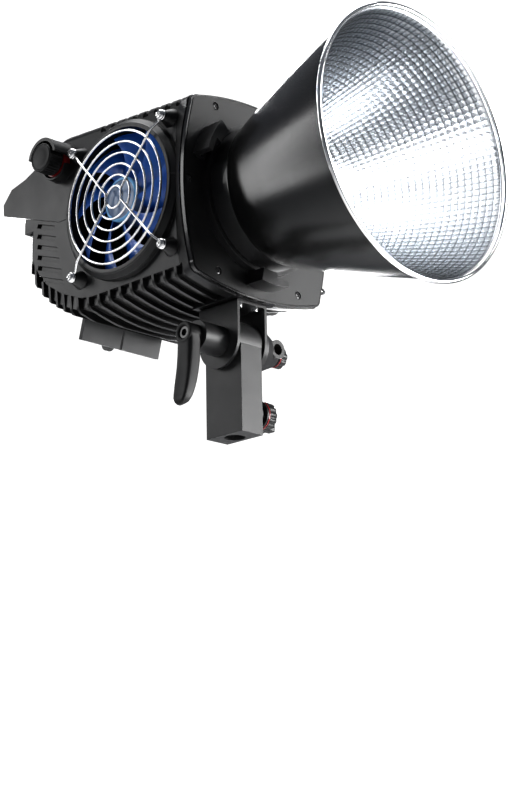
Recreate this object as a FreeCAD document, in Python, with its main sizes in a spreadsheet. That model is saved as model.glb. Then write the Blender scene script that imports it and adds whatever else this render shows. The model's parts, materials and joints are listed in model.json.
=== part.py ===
import FreeCAD, Part
import math
import os

import Sketcher

os.makedirs("parts", exist_ok=True)

# Row frame: millimetres, +Z up, the light shines towards -Y, the origin is the
# centre of the stand socket's mouth at the foot of the stand block.
SIZES = {
    # head: mount axis height and front plate
    "axis_z": 183.0,
    "plate_front_y": -28.9,
    "plate_thick": 3.0,
    "plate_half_width": 68.0,
    "plate_side_bow": 9.0,
    "plate_half_height": 70.0,
    "plate_end_bow": 8.5,
    "plate_corner": 6.0,
    "bezel_lip": 1.6,
    "bezel_depth": 4.4,
    "flange_step": 0.8,
    # housing section and wall
    "side_half_width": 62.0,
    "side_bow": 4.0,
    "base_z": 112.5,
    "base_bow": 8.5,
    "roof_z": 260.5,
    "roof_rise": 0.067,
    "roof_bow": 2.0,
    "section_corner": 7.0,
    "wall": 2.6,
    "collar_back_y": -6.0,
    "rear_y": 174.5,
    "heel_y": 104.0,
    "rear_corner": 18.0,
    "seam_z": 194.0,
    "seam_gap": 0.3,
    "console_bend_y": 131.0,
    "console_tip_y": 209.0,
    "console_rise": 0.346,
    # cooling ribs
    "rib_pitch": 12.6,
    "rib_thick": 2.8,
    "rib_depth": 7.0,
    "first_rib_y": -14.0,
    "lower_ribs": 11,
    "upper_ribs": 9,
    "roof_rib_y": -13.0,
    "roof_rib_thick": 6.6,
    "roof_ledge": 8.0,
    "heel_rib_y": 111.8,
    "heel_rib_pitch": 8.2,
    "heel_rib_thick": 2.4,
    "heel_rib_depth": 3.6,
    "heel_ribs": 8,
    # side vents
    "vent_height": 3.6,
    "vent_depth": 1.8,
    "vent_pitch": 9.0,
    "vent_count": 6,
    # fans, shrouds and guards
    "fan_y": 53.8,
    "fan_z": 191.3,
    "fan_size": 119.0,
    "fan_thick": 25.0,
    "fan_outer_x": 58.2,
    "fan_bore": 57.2,
    "rotor_face_x": 69.0,
    "blade_radius": 56.0,
    "hub_radius": 18.5,
    "blade_count": 9,
    "shroud_x": 72.2,
    "screw_offset": 52.5,
    "lug_radius": 4.2,
    "lug_end_x": 71.6,
    "guard_x": 74.6,
    "guard_wire": 1.0,
    "guard_pitch": 8.92,
    "guard_rings": 6,
    # bayonet mount and reflector
    "ring_radius": 60.5,
    "ring_front_y": -35.6,
    "throat": 45.0,
    "groove_radius": 49.6,
    "collar_radius": 57.2,
    "flange_y": -53.4,
    "flange_radius": 58.4,
    "claw_inner": 61.6,
    "claw_outer": 72.0,
    "claw_front_y": -46.0,
    "claw_angle": 24.0,
    "claw_first": 151.0,
    "reflector_mouth_y": -188.4,
    "reflector_mouth": 101.6,
    "reflector_wall": 1.3,
    "rim_radius": 1.9,
    # yoke bracket and stand block
    "pivot_z": 73.0,
    "yoke_half_width": 16.05,
    "yoke_half_depth": 21.0,
    "yoke_plate": 2.6,
    "yoke_top_z": 103.6,
    "block_half_width": 11.15,
    "block_half_depth": 19.2,
    "knuckle_half_width": 12.2,
    "washer_thick": 1.1,
    "bolt_radius": 4.0,
    "running_gap": 0.06,
    "socket_radius": 8.1,
    "socket_depth": 45.0,
    # tilt lock lever
    "boss_radius": 12.0,
    "boss_end_x": 40.2,
    "lever_end_x": 53.4,
    "lever_head": 8.4,
    # umbrella holder
    "holder_end_x": 41.2,
    "umbrella_x": 34.0,
    "umbrella_radius": 4.4,
    # clamp screws and knobs
    "clamp_z": 21.5,
    "clamp_boss_x": 22.0,
    "clamp_radius": 3.95,
    "knob_radius": 12.0,
    # console dials
    "dial_y": 129.5,
    "dial_z": 244.0,
    "dial_radius": 14.6,
}

doc = FreeCAD.newDocument("monolight")
sheet = doc.addObject("Spreadsheet::Sheet", "Sizes")
for row, (alias, number) in enumerate(SIZES.items(), start=1):
    sheet.set(f"A{row}", alias)
    sheet.set(f"B{row}", str(number))
    sheet.setAlias(f"B{row}", alias)
doc.recompute()


class Size:
    """A number that also carries the spreadsheet expression it comes from."""

    def __init__(self, value, text):
        self.value = float(value)
        self.text = text

    def __add__(self, other):
        other = as_size(other)
        return Size(self.value + other.value, f"({self.text} + {other.text})")

    def __sub__(self, other):
        other = as_size(other)
        return Size(self.value - other.value, f"({self.text} - {other.text})")

    def __mul__(self, other):
        other = as_size(other)
        return Size(self.value * other.value, f"({self.text} * {other.text})")

    def __truediv__(self, other):
        other = as_size(other)
        return Size(self.value / other.value, f"({self.text} / {other.text})")

    def __neg__(self):
        return Size(-self.value, f"(-1 * {self.text})")

    def __rsub__(self, other):
        return as_size(other) - self

    __radd__ = __add__
    __rmul__ = __mul__


def as_size(number):
    if isinstance(number, Size):
        return number
    return Size(number, f"({float(number):.6f})")


def dim(alias):
    """The named size of the sheet."""
    return Size(sheet.get(alias), f"Sizes.{alias}")


def bind(thing, prop, size):
    """Drives one property of a document object from the sheet."""
    thing.setExpression(prop, as_size(size).text)


NODES = []


def node(label, thing):
    """Marks a finished sub-part and gives it its node name."""
    thing.Label = label
    NODES.append(thing)
    return thing


# Rotations that turn a primitive's own Z axis to a row axis.
TURNS = {
    "X": FreeCAD.Rotation(FreeCAD.Vector(0, 1, 0), 90),
    "-X": FreeCAD.Rotation(FreeCAD.Vector(0, 1, 0), -90),
    "Y": FreeCAD.Rotation(FreeCAD.Vector(1, 0, 0), -90),
    "-Y": FreeCAD.Rotation(FreeCAD.Vector(1, 0, 0), 90),
    "Z": FreeCAD.Rotation(),
}


def put(thing, spot, turn=None):
    """Gives an object its rotation, then binds its position."""
    thing.Placement = FreeCAD.Placement(FreeCAD.Vector(), turn or FreeCAD.Rotation())
    for letter, coordinate in zip("xyz", spot):
        bind(thing, f"Placement.Base.{letter}", coordinate)
    return thing


def box(name, low, high):
    thing = doc.addObject("Part::Box", name)
    for prop, start, stop in zip(("Length", "Width", "Height"), low, high):
        bind(thing, prop, as_size(stop) - start)
    return put(thing, low)


def rod(name, axis, start, radius, length):
    thing = doc.addObject("Part::Cylinder", name)
    bind(thing, "Radius", radius)
    bind(thing, "Height", length)
    return put(thing, start, TURNS[axis])


def cone(name, axis, start, first_radius, last_radius, length):
    thing = doc.addObject("Part::Cone", name)
    bind(thing, "Radius1", first_radius)
    bind(thing, "Radius2", last_radius)
    bind(thing, "Height", length)
    return put(thing, start, TURNS[axis])


def hoop(name, axis, centre, radius, wire):
    thing = doc.addObject("Part::Torus", name)
    bind(thing, "Radius1", radius)
    bind(thing, "Radius2", wire)
    return put(thing, centre, TURNS[axis])


def join(name, pieces):
    thing = doc.addObject("Part::MultiFuse", name)
    thing.Shapes = pieces
    return thing


def group(name, pieces):
    """Keeps separate solids together in one node."""
    thing = doc.addObject("Part::Compound", name)
    thing.Links = pieces
    return thing


def overlap(name, pieces):
    """What all the pieces have in common."""
    shared = pieces[0]
    for index, piece in enumerate(pieces[1:], start=2):
        last = index == len(pieces)
        thing = doc.addObject("Part::Common", name if last else f"{name}_{index}")
        thing.Base = shared
        thing.Tool = piece
        shared = thing
    return shared


def cut(name, base, tools):
    thing = doc.addObject("Part::Cut", name)
    thing.Base = base
    thing.Tool = tools[0] if len(tools) == 1 else join(f"{name}_tools", tools)
    return thing


def draw_outline(sketch, vertices):
    """Closed outline of fully dimensioned lines and arcs, counterclockwise.

    A vertex is (u, v), or (u, v, bow) when the edge to the next vertex is an
    arc that bows outwards by that much.
    """
    spots = [(as_size(vertex[0]), as_size(vertex[1])) for vertex in vertices]
    count = len(vertices)
    starts = []
    for index, vertex in enumerate(vertices):
        here = FreeCAD.Vector(spots[index][0].value, spots[index][1].value, 0)
        after = spots[(index + 1) % count]
        there = FreeCAD.Vector(after[0].value, after[1].value, 0)
        if len(vertex) == 2:
            sketch.addGeometry(Part.LineSegment(here, there), False)
            starts.append(1)
            continue
        along = (there - here).normalize()
        outward = FreeCAD.Vector(along.y, -along.x, 0)
        middle = (here + there) * 0.5 + outward * as_size(vertex[2]).value
        sketch.addGeometry(Part.Arc(here, middle, there), False)
        near = sketch.getPoint(index, 1).distanceToPoint(here)
        far = sketch.getPoint(index, 2).distanceToPoint(here)
        starts.append(1 if near < far else 2)
    for index, vertex in enumerate(vertices):
        end = 3 - starts[index]
        after = (index + 1) % count
        sketch.addConstraint(Sketcher.Constraint("Coincident", index, end, after, starts[after]))
        across, along = spots[index]
        for kind, axis_line, size in (("DistanceX", -2, across), ("DistanceY", -1, along)):
            if abs(size.value) < 1e-6:
                sketch.addConstraint(Sketcher.Constraint("PointOnObject", index, starts[index], axis_line))
                continue
            number = sketch.addConstraint(Sketcher.Constraint(kind, index, starts[index], size.value))
            sketch.setExpression(f"Constraints[{number}]", size.text)
        if len(vertex) == 3:
            radius = bow_radius(spots[index], spots[after], vertex[2])
            number = sketch.addConstraint(Sketcher.Constraint("Radius", index, radius.value))
            sketch.setExpression(f"Constraints[{number}]", radius.text)


def bow_radius(here, there, bow):
    """Radius of the arc between two points that bows by the given height."""
    across = there[0] - here[0]
    along = there[1] - here[1]
    bow = as_size(bow)
    if bow.value < 0:
        bow = -bow
    return (across * across + along * along + bow * bow * 4) / (bow * 8)


def sketch_in(body, role, offset, vertices):
    sketch = body.newObject("Sketcher::SketchObject", f"{body.Name}_sketch")
    plane = next(item for item in body.Origin.OriginFeatures if item.Role == role)
    sketch.AttachmentSupport = [(plane, "")]
    sketch.MapMode = "FlatFace"
    bind(sketch, "AttachmentOffset.Base.z", offset)
    draw_outline(sketch, vertices)
    return sketch


def prism(name, role, offset, length, vertices, spot=(0, 0, 0)):
    """Outline on an origin plane, padded along that plane's normal.

    XY_Plane pads towards +Z and YZ_Plane towards +X. XZ_Plane pads towards -Y,
    and its offset counts towards -Y too.
    """
    body = doc.addObject("PartDesign::Body", name)
    sketch = sketch_in(body, role, offset, vertices)
    pad = body.newObject("PartDesign::Pad", f"{name}_pad")
    pad.Profile = sketch
    bind(pad, "Length", length)
    body.Tip = pad
    return put(body, spot)


def slab(name, back_y, front_y, vertices):
    """Outline seen from the front, as thick as from back_y to front_y."""
    back_y = as_size(back_y)
    return prism(name, "XZ_Plane", -back_y, back_y - front_y, vertices)


def turned(name, axis, centre, profile):
    """Profile of (along the axis, radius) pairs turned about X or Y.

    The pairs run so that the outline is counterclockwise in the sketch.
    """
    body = doc.addObject("PartDesign::Body", name)
    if axis == "Y":
        profile = [(radius, along) + tuple(rest) for along, radius, *rest in profile]
    sketch = sketch_in(body, "XY_Plane", 0, profile)
    revolution = body.newObject("PartDesign::Revolution", f"{name}_turn")
    revolution.Profile = sketch
    revolution.ReferenceAxis = (sketch, ["H_Axis" if axis == "X" else "V_Axis"])
    revolution.Angle = 360
    body.Tip = revolution
    return put(body, centre)


def bowed_outline(half_width, side_bow, low, low_bow, high, high_bow, corner):
    """Rounded rectangle whose four sides bow outwards."""
    half_width = as_size(half_width)
    low = as_size(low)
    high = as_size(high)
    corner = as_size(corner)
    round_bow = corner * (1 - math.cos(math.pi / 4))
    inner = half_width - corner
    return [
        (half_width, low + corner, side_bow),
        (half_width, high - corner, round_bow),
        (inner, high, high_bow),
        (-inner, high, round_bow),
        (-half_width, high - corner, side_bow),
        (-half_width, low + corner, round_bow),
        (-inner, low, low_bow),
        (inner, low, round_bow),
    ]


def plate_outline(grow):
    """The front plate's outline, grown by the given amount."""
    half_height = dim("plate_half_height") + grow
    return bowed_outline(
        dim("plate_half_width") + grow, dim("plate_side_bow"),
        dim("axis_z") - half_height, dim("plate_end_bow"),
        dim("axis_z") + half_height, dim("plate_end_bow"),
        dim("plate_corner") + grow,
    )


def roof_at(y):
    """Height of the roof's edge, which rises gently towards the rear."""
    return dim("roof_z") + (as_size(y) - dim("collar_back_y")) * dim("roof_rise")


def section_outline(side_inset, end_inset, y):
    """The housing's cross-section at y, drawn in by the given amounts."""
    return bowed_outline(
        dim("side_half_width") - side_inset, dim("side_bow"),
        dim("base_z") + end_inset, dim("base_bow"),
        roof_at(y) - end_inset, dim("roof_bow"),
        dim("section_corner"),
    )


def polar(radius, angle_deg):
    """Point at an angle round the mount axis, as (x, z) sizes."""
    turn = math.radians(angle_deg)
    return dim("axis_z") * 0 + radius * math.cos(turn), dim("axis_z") + radius * math.sin(turn)


def console_line(y, drop=0):
    """Height of the console's sloping underside at a distance from the front."""
    return dim("seam_z") + (as_size(y) - dim("console_bend_y")) * dim("console_rise") - drop


# ---------------------------------------------------------------- housing
# The console's upper face starts at this (y, z) and falls by this angle towards the rear.
SLOPE_TOP = (130.5, 266.0)
SLOPE = -math.degrees(math.atan2(21.0, 47.5))
HOUSING_END = 240
no_inset = as_size(0)


def housing_block(name, side_inset, end_inset, front_y):
    """Body and console as one solid, drawn in from the outer faces."""
    rear = dim("rear_y") - side_inset
    tip = dim("console_tip_y") - side_inset
    section = loft(
        f"{name}_section",
        front_y, section_outline(side_inset, end_inset, front_y),
        HOUSING_END, section_outline(side_inset, end_inset, HOUSING_END),
    )
    width = dim("side_half_width") + dim("side_bow") + 4
    profile = prism(f"{name}_profile", "YZ_Plane", -width, width * 2, [
        (front_y - 2, 90 + end_inset),
        (dim("heel_y") - side_inset, dim("base_z") - 6 + end_inset, 1.0),
        (dim("heel_y") + 29 - side_inset, dim("base_z") + 9 + end_inset * 0.8, 6.2),
        (rear - 2, dim("base_z") + 59.5 - side_inset * 0.5),
        (rear, dim("base_z") + 72),
        (rear, console_line(rear)),
        (tip - 4, console_line(tip - 4) + side_inset, 0.8),
        (tip, console_line(tip) + 3.5 + side_inset),
        (tip - 14, SLOPE_TOP[1] - 25 - end_inset * 0.4),
        (tip - 31, SLOPE_TOP[1] - 21 - end_inset * 0.4),
        (SLOPE_TOP[0], SLOPE_TOP[1] - end_inset, 1.0),
        (118, SLOPE_TOP[1] + 2.5 - end_inset),
        (front_y - 2, SLOPE_TOP[1] + 2.5),
    ])
    lower = corner_plan(f"{name}_plan", 85, 111, side_inset, rear, dim("rear_corner"))
    console = corner_plan(f"{name}_console", dim("seam_z") + 1, 90, side_inset, tip, as_size(12))
    plan = join(f"{name}_plans", [lower, console])
    return overlap(name, [section, profile, plan])


def corner_plan(name, low_z, height, inset, rear, corner):
    """Plan that only rounds the two rear corners: its faces stand off the rest."""
    margin = 1
    half = dim("side_half_width") + dim("side_bow") - inset + margin
    front = -40
    back = rear + margin
    return prism(name, "XY_Plane", low_z, height, [
        (-half, front), (half, front),
        (half, back - corner, corner * 0.293), (half - corner, back),
        (corner - half, back, corner * 0.293), (-half, back - corner),
    ])


def loft(name, front_y, front_outline, back_y, back_outline):
    """Straight-sided solid between two outlines that stand across the Y axis."""
    body = doc.addObject("PartDesign::Body", name)
    front = sketch_in(body, "XZ_Plane", as_size(0) - front_y, front_outline)
    back = sketch_in(body, "XZ_Plane", as_size(0) - back_y, back_outline)
    skin = body.newObject("PartDesign::AdditiveLoft", f"{name}_loft")
    skin.Profile = front
    skin.Sections = [back]
    skin.Ruled = True
    body.Tip = skin
    return body


def collar(name, grow, side_inset, end_inset, front_y, back_y):
    """Flare from the housing's section out to the front flange."""
    return loft(
        name, front_y, plate_outline(dim("bezel_lip") + dim("flange_step") + grow),
        back_y, section_outline(side_inset, end_inset, back_y),
    )


def rib_grooves(name, core, ribs, low_z, high_z):
    """Grooves between lateral ribs, down to the core's surface.

    The ribs are given as (middle of the first rib, pitch, thickness, rib count).
    """
    first, pitch, thick, count = ribs
    boxes = []
    for index in range(count - 1):
        start = first + thick * 0.5 + pitch * index
        boxes.append(box(f"{name}_{index}", (-90, start, low_z), (90, start + pitch - thick, high_z)))
    return cut(name, group(f"{name}_boxes", boxes), [core])


def groove_outline(y, depth):
    """Section through the surface at the bottom of the ribs' grooves."""
    low = dim("base_z") + depth
    high = roof_at(y) - depth
    wide = dim("side_half_width") + 28
    narrow = dim("side_half_width") - 7
    return [
        (wide, low + 3.5), (wide, high - 1), (narrow, high, dim("roof_bow")),
        (-narrow, high), (-wide, high - 1), (-wide, low + 3.5),
        (-narrow, low - 4, dim("base_bow") - 1), (narrow, low - 4),
    ]


def groove_core(name, depth, shoulder):
    """The surface at the bottom of grooves of one depth, stepped in at the flanks' shoulders."""
    front, back = -40, HOUSING_END
    section = loft(f"{name}_section", front, groove_outline(front, depth), back, groove_outline(back, depth))
    rear = dim("rear_y") - depth
    profile = prism(f"{name}_profile", "YZ_Plane", -90, 180, [
        (-40, 80), (dim("heel_y") - depth * 0.5, dim("base_z") + 0.5, 1.0),
        (dim("heel_y") + 29 - depth * 0.5, dim("base_z") + 9 + depth * 0.8, 6.0),
        (rear - 2, dim("base_z") + 58), (rear, dim("base_z") + 72), (rear, 300), (-40, 300),
    ])
    low = dim("base_z") + 10
    ledge = [
        (-50, 60), (190, 60), (190, low + 46), (164, low + 46), (157, low + 34), (148, low + 23),
        (130, low + 11), (108, low + 2), (96, low), (-50, low),
    ]
    roof_front, roof_back = (roof_at(y) - dim("roof_ledge") for y in (-50, 116))
    top_ledge = [(-50, roof_front), (116, roof_back), (116, 300), (-50, 300)]
    notches = []
    for word, start in (("right", shoulder), ("left", shoulder * -1 - 60)):
        for kind, outline in (("ledge", ledge), ("top_ledge", top_ledge)):
            notches.append(prism(f"{name}_{kind}_{word}", "YZ_Plane", start, 60, outline))
    return cut(name, overlap(f"{name}_solid", [section, profile]), notches)


def fan_centre(side, x):
    return as_size(x) * side, dim("fan_y"), dim("fan_z")


def screw_spots():
    """The four fan screw places, as (y, z)."""
    reach = dim("screw_offset")
    return [
        (dim("fan_y") + reach * across, dim("fan_z") + reach * up)
        for across in (-1, 1) for up in (-1, 1)
    ]


def outward(side):
    return "X" if side > 0 else "-X"


def shroud(side):
    """Round fan shroud with its four screw lugs on one flank."""
    name = f"shroud_{'right' if side > 0 else 'left'}"
    profile = [
        (-dim("fan_outer_x"), dim("fan_bore")), (-dim("fan_outer_x"), dim("fan_bore") + 8.2),
        (4 - dim("shroud_x"), dim("fan_bore") + 7.2), (1 - dim("shroud_x"), dim("fan_bore") + 3.6, 0.6),
        (-dim("shroud_x"), dim("fan_bore") + 2.4), (-dim("shroud_x"), dim("fan_bore")),
    ]
    ring = turned(name, "X", (0, dim("fan_y"), dim("fan_z")), profile)
    pieces = [ring]
    if side > 0:
        ring.Placement = FreeCAD.Placement(FreeCAD.Vector(), FreeCAD.Rotation(FreeCAD.Vector(0, 0, 1), 180))
        bind(ring, "Placement.Base.y", dim("fan_y"))
        bind(ring, "Placement.Base.z", dim("fan_z"))
    for number, (y, z) in enumerate(screw_spots()):
        start = (dim("fan_outer_x") * side, y, z)
        length = dim("lug_end_x") - dim("fan_outer_x")
        pieces.append(cone(f"{name}_lug{number}", outward(side), start, 9.8, dim("lug_radius"), length))
    return pieces


def vent_slots():
    """Sloping shallow slots on both flanks, each with an opening at its rear end."""
    slots = []
    openings = []
    rise = math.degrees(math.atan(SIZES["console_rise"]))
    turn = FreeCAD.Rotation(FreeCAD.Vector(1, 0, 0), rise)
    for index in range(int(SIZES["vent_count"])):
        drop = dim("vent_pitch") * index
        longer = 1.9 * index
        start = 137.5 - longer
        height = dim("seam_z") - 5.0 - drop - longer * SIZES["console_rise"]
        slot = box(f"vent_{index}", (0, 0, 0), (200, 22 + longer, dim("vent_height")))
        slots.append(put(slot, (-100, start, height), turn))
        hole = box(f"vent_hole_{index}", (0, 0, 0), (200, 3, dim("vent_height")))
        reach = 19.5 + longer
        rear = math.cos(math.radians(rise)) * reach
        openings.append(put(hole, (-100, start + rear, height + rear * SIZES["console_rise"]), turn))
    depth = dim("vent_depth")
    near, far = (section_outline(depth, no_inset, y) for y in (110, 190))
    core = loft("vent_core", 110, near, 190, far)
    return [cut("vent_recesses", group("vent_slots", slots), [core]), *openings]


def panel_slab(name, half_width, start, stop, low, high):
    """Plate lying in the console's sloping face, measured along the slope."""
    thing = box(name, (-half_width, start, low), (half_width, stop, high))
    slope = FreeCAD.Rotation(FreeCAD.Vector(1, 0, 0), SLOPE)
    return place_on_slope(thing, -half_width, start, low, slope)


def place_on_slope(thing, x, along, lift, turn):
    """Moves an object to a place given along and above the sloping face."""
    angle = math.radians(SLOPE)
    y = SLOPE_TOP[0] + along * math.cos(angle) - lift * math.sin(angle)
    z = SLOPE_TOP[1] + along * math.sin(angle) + lift * math.cos(angle)
    return put(thing, (x, y, z), turn)


deep_inset = dim("wall") + dim("rib_depth")
outer = housing_block("housing_outer", no_inset, no_inset, dim("collar_back_y") - 3)
inner = housing_block("housing_inner", dim("wall"), deep_inset, as_size(-12))
flange_y = dim("plate_front_y") + dim("bezel_depth")
flare = collar("collar_outer", no_inset, no_inset, no_inset, flange_y, dim("collar_back_y"))
flare_hollow = collar("collar_inner", no_inset - dim("wall"), dim("wall"), deep_inset,
                      flange_y - 0.01, dim("collar_back_y") + 0.01)
core = groove_core("groove_core", dim("rib_depth"), dim("side_half_width") - 3.2)
heel_core = groove_core("heel_core", dim("heel_rib_depth"), dim("side_half_width") - 0.6)
lower_ribs = (dim("first_rib_y"), dim("rib_pitch"), dim("rib_thick"), int(SIZES["lower_ribs"]))
upper_ribs = (dim("roof_rib_y"), dim("rib_pitch"), dim("roof_rib_thick"), int(SIZES["upper_ribs"]))
heel_ribs = (dim("heel_rib_y"), dim("heel_rib_pitch"), dim("heel_rib_thick"), int(SIZES["heel_ribs"]))
grooves = [
    rib_grooves("lower_grooves", core, lower_ribs, 90, dim("seam_z") - 46),
    rib_grooves("upper_grooves", core, upper_ribs, dim("roof_z") - 16, 290),
    rib_grooves("heel_grooves", heel_core, heel_ribs, 90, dim("seam_z") - 26),
]
fan_holes = [
    rod("fan_hole", "X", (-100, dim("fan_y"), dim("fan_z")), dim("fan_bore"), 200),
    *[rod(f"lug_hole_{side}_{number}", outward(side), (40 * side, y, z), 1.7, 60)
      for side in (-1, 1) for number, (y, z) in enumerate(screw_spots())],
]


def split_tool(name, upper):
    """One side of the seam, which follows the console's sloping underside."""
    gap = dim("seam_gap") * (0.5 if upper else -0.5)
    bend = dim("console_bend_y")
    corners = [
        (-60, dim("seam_z") + gap), (bend, dim("seam_z") + gap), (240, console_line(240) + gap),
    ]
    corners += [(240, 320), (-60, 320)] if upper else [(240, 60), (-60, 60)]
    if not upper:
        corners.reverse()
    return prism(name, "YZ_Plane", -100, 200, corners)


def dial_hood(side):
    """Hood over a dial on the console's flank, and the cup round the dial's foot."""
    name = f"hood_{'right' if side > 0 else 'left'}"
    start = (56 * side, dim("dial_y"), dim("dial_z"))
    radius = dim("dial_radius")
    wall = cone(f"{name}_wall", outward(side), start, radius + 3.2, radius + 2.2, 30)
    above = box(f"{name}_above", (-100, 60, dim("dial_z") + 2), (100, 200, 300))
    hood = overlap(f"{name}_half", [wall, above])
    cup = cone(f"{name}_cup", outward(side), start, radius + 2.6, radius + 0.6, 17.6)
    space = rod(f"{name}_space", outward(side), start, radius - 0.6, 40)
    near, far = sorted((66.4 * side, 80 * side))
    notch = box(f"{name}_notch", (near, 100, dim("dial_z") - 5), (far, dim("dial_y") - 8, dim("dial_z") + 1.6))
    return cut(f"{name}_whole", join(f"{name}_solid", [hood, cup]), [space, notch])


SIDES = {"left": -1, "right": 1}

foot_starts = {"left": -41.7, "right": 1.1}


def foot_block(name, word, grow):
    """One of the two rest feet, or the pocket that holds it."""
    turn = FreeCAD.Rotation(FreeCAD.Vector(1, 0, 0), 16)
    foot = box(name, (0, 0, 0), (40.6 + 2 * grow, 4.0 + 2 * grow, 21.0 + grow))
    return put(foot, (foot_starts[word] - grow, 130.4 - grow, 99.6), turn)


def eye_stem(name, grow):
    """The safety eye's stem, or the pocket that holds it."""
    return box(name, (-2.0 - grow, 138 - grow, 109), (2.0 + grow, 152 + grow, 124 + grow))


ribbed = cut("housing_ribbed", join("housing_solid", [outer, flare]), grooves)
shell_pieces = [cut("housing_hollow", ribbed, [inner, flare_hollow])]
for side in SIDES.values():
    shell_pieces += shroud(side)
    shell_pieces.append(dial_hood(side))
slope_turn = FreeCAD.Rotation(FreeCAD.Vector(1, 0, 0), SLOPE)
panel_start, panel_stop, panel_half, panel_deep = 6, 45, 47, 2.4
button_spots = {"menu_button": 14, "mode_button": 27, "back_button": 40}
button_along, button_radius = 25, 4.0
rear_panel_low, rear_panel_high, rear_panel_half = 178.5, 204, 47


def slope_rod(name, x, along, lift, radius, length):
    return place_on_slope(rod(name, "Z", (0, 0, 0), radius, length), x, along, lift, slope_turn)


fan_half = dim("fan_size") / 2 + 0.2
shell_tools = fan_holes + vent_slots() + [
    box("fan_pockets", (-1 * dim("fan_outer_x"), dim("fan_y") - fan_half, dim("fan_z") - fan_half),
        (dim("fan_outer_x"), dim("fan_y") + fan_half, dim("fan_z") + fan_half)),
    *[foot_block(f"foot_pocket_{word}", word, 0.05) for word in SIDES],
    eye_stem("eye_pocket", 0.05),
    panel_slab("panel_recess", panel_half + 0.1, panel_start - 0.1, panel_stop + 0.1, -panel_deep - 0.1, 12),
    box("rear_recess", (-rear_panel_half - 0.1, dim("rear_y") - 12, rear_panel_low - 0.1),
        (rear_panel_half + 0.1, dim("rear_y") + 3, rear_panel_high)),
    *[rod(f"dial_hole_{name}", outward(side), (50 * side, dim("dial_y"), dim("dial_z")), 3.06, 30)
      for name, side in SIDES.items()],
    *[slope_rod(f"{name}_hole", x, button_along, -20, button_radius + 1.6, 30)
      for name, x in button_spots.items()],
]
shell = cut("shell_whole", join("shell_solid", shell_pieces), shell_tools)
node("upper_shell", overlap("shell_upper", [shell, split_tool("above_seam", True)]))
yoke_top = dim("yoke_top_z")
yoke_deep = dim("yoke_half_depth")
yoke_spots = [(x, y) for x in (-8.5, 8.5) for y in (-14, 14)]
seat = box("yoke_seat", (-20, -yoke_deep, yoke_top), (20, yoke_deep + 3, yoke_top + 9.4))
seat_tools = [box("yoke_seat_space", (-21, -50, 80), (21, yoke_deep + 4, yoke_top))]
seat_tools += [
    rod(f"seat_screw_hole{number}", "Z", (x, y, yoke_top - 2), 2.1, 8.5)
    for number, (x, y) in enumerate(yoke_spots)
]
front_y = dim("plate_front_y")
side_screw_y, side_screw_z = front_y + 4.8, dim("axis_z") - 54.7


def side_screw_hole(name):
    return rod(name, "X", (66, side_screw_y, side_screw_z), 1.5, 24)


seat_tools.append(side_screw_hole("shell_side_screw_hole"))
lower_half = overlap("shell_lower", [shell, split_tool("below_seam", False)])
node("lower_shell", cut("shell_lower_cut", join("shell_lower_seated", [lower_half, seat]), seat_tools))

# ---------------------------------------------------------------- front plate, bezel and mount
plate_screws = [(-44, 67.2), (44, 67.2), (-72.5, 0), (72.5, 0), (-43.5, -66.4), (43.5, -66.4)]


def plate_rods(name, y, radius, length):
    return [
        rod(f"{name}_{number}", "Y", (x, y, dim("axis_z") + up), radius, length)
        for number, (x, up) in enumerate(plate_screws)
    ]


plate = slab("plate_blank", front_y + dim("plate_thick"), front_y, plate_outline(0))
plate_tools = [rod("plate_throat", "Y", (0, front_y - 1, dim("axis_z")), 52, 9)]
plate_tools += plate_rods("plate_screw_hole", front_y - 1, 1.6, 9)
plate_tools += plate_rods("plate_screw_seat", front_y - 1, 3.2, 2.6)
plate_tools.append(rod("latch_hole", "Y", (*polar(66, 331)[:1], front_y - 1, polar(66, 331)[1]), 2.06, 9))
node("front_plate", cut("plate_cut", plate, plate_tools))
heads = plate_rods("plate_screw_head", front_y + 0.3, 3.0, 1.2)
shanks = plate_rods("plate_screw_shank", front_y + 1.4, 1.5, 4.5)
node("plate_screws", group("plate_screw_set", [
    join(f"plate_screw_{number}", list(pair)) for number, pair in enumerate(zip(heads, shanks))
]))

bezel = slab("bezel_blank", front_y + dim("bezel_depth"), front_y + 0.5, plate_outline(dim("bezel_lip")))
node("front_bezel", cut("bezel_cut", bezel, [
    slab("bezel_window", front_y + dim("bezel_depth") + 1, front_y - 1, plate_outline(0.1)),
    side_screw_hole("bezel_side_screw_hole"),
]))
node("side_screw", join("side_screw_whole", [
    rod("side_screw_shank", "X", (69, side_screw_y, side_screw_z), 1.4, 7.5),
    cone("side_screw_head", "X", (76.4, side_screw_y, side_screw_z), 2.6, 1.8, 2.2),
]))


def sector(name, back_y, front_y, inner_radius, outer_radius, middle, span):
    """Arc-shaped block round the mount axis."""
    start = middle - span / 2
    stop = middle + span / 2
    drop = 1 - math.cos(math.radians(span / 2))
    return slab(name, back_y, front_y, [
        polar(inner_radius, start),
        polar(outer_radius, start) + (outer_radius * drop,),
        polar(outer_radius, stop),
        polar(inner_radius, stop) + (-1 * (inner_radius * drop),),
    ])


def thirds(first):
    return [first, first + 120, first + 240]


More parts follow.
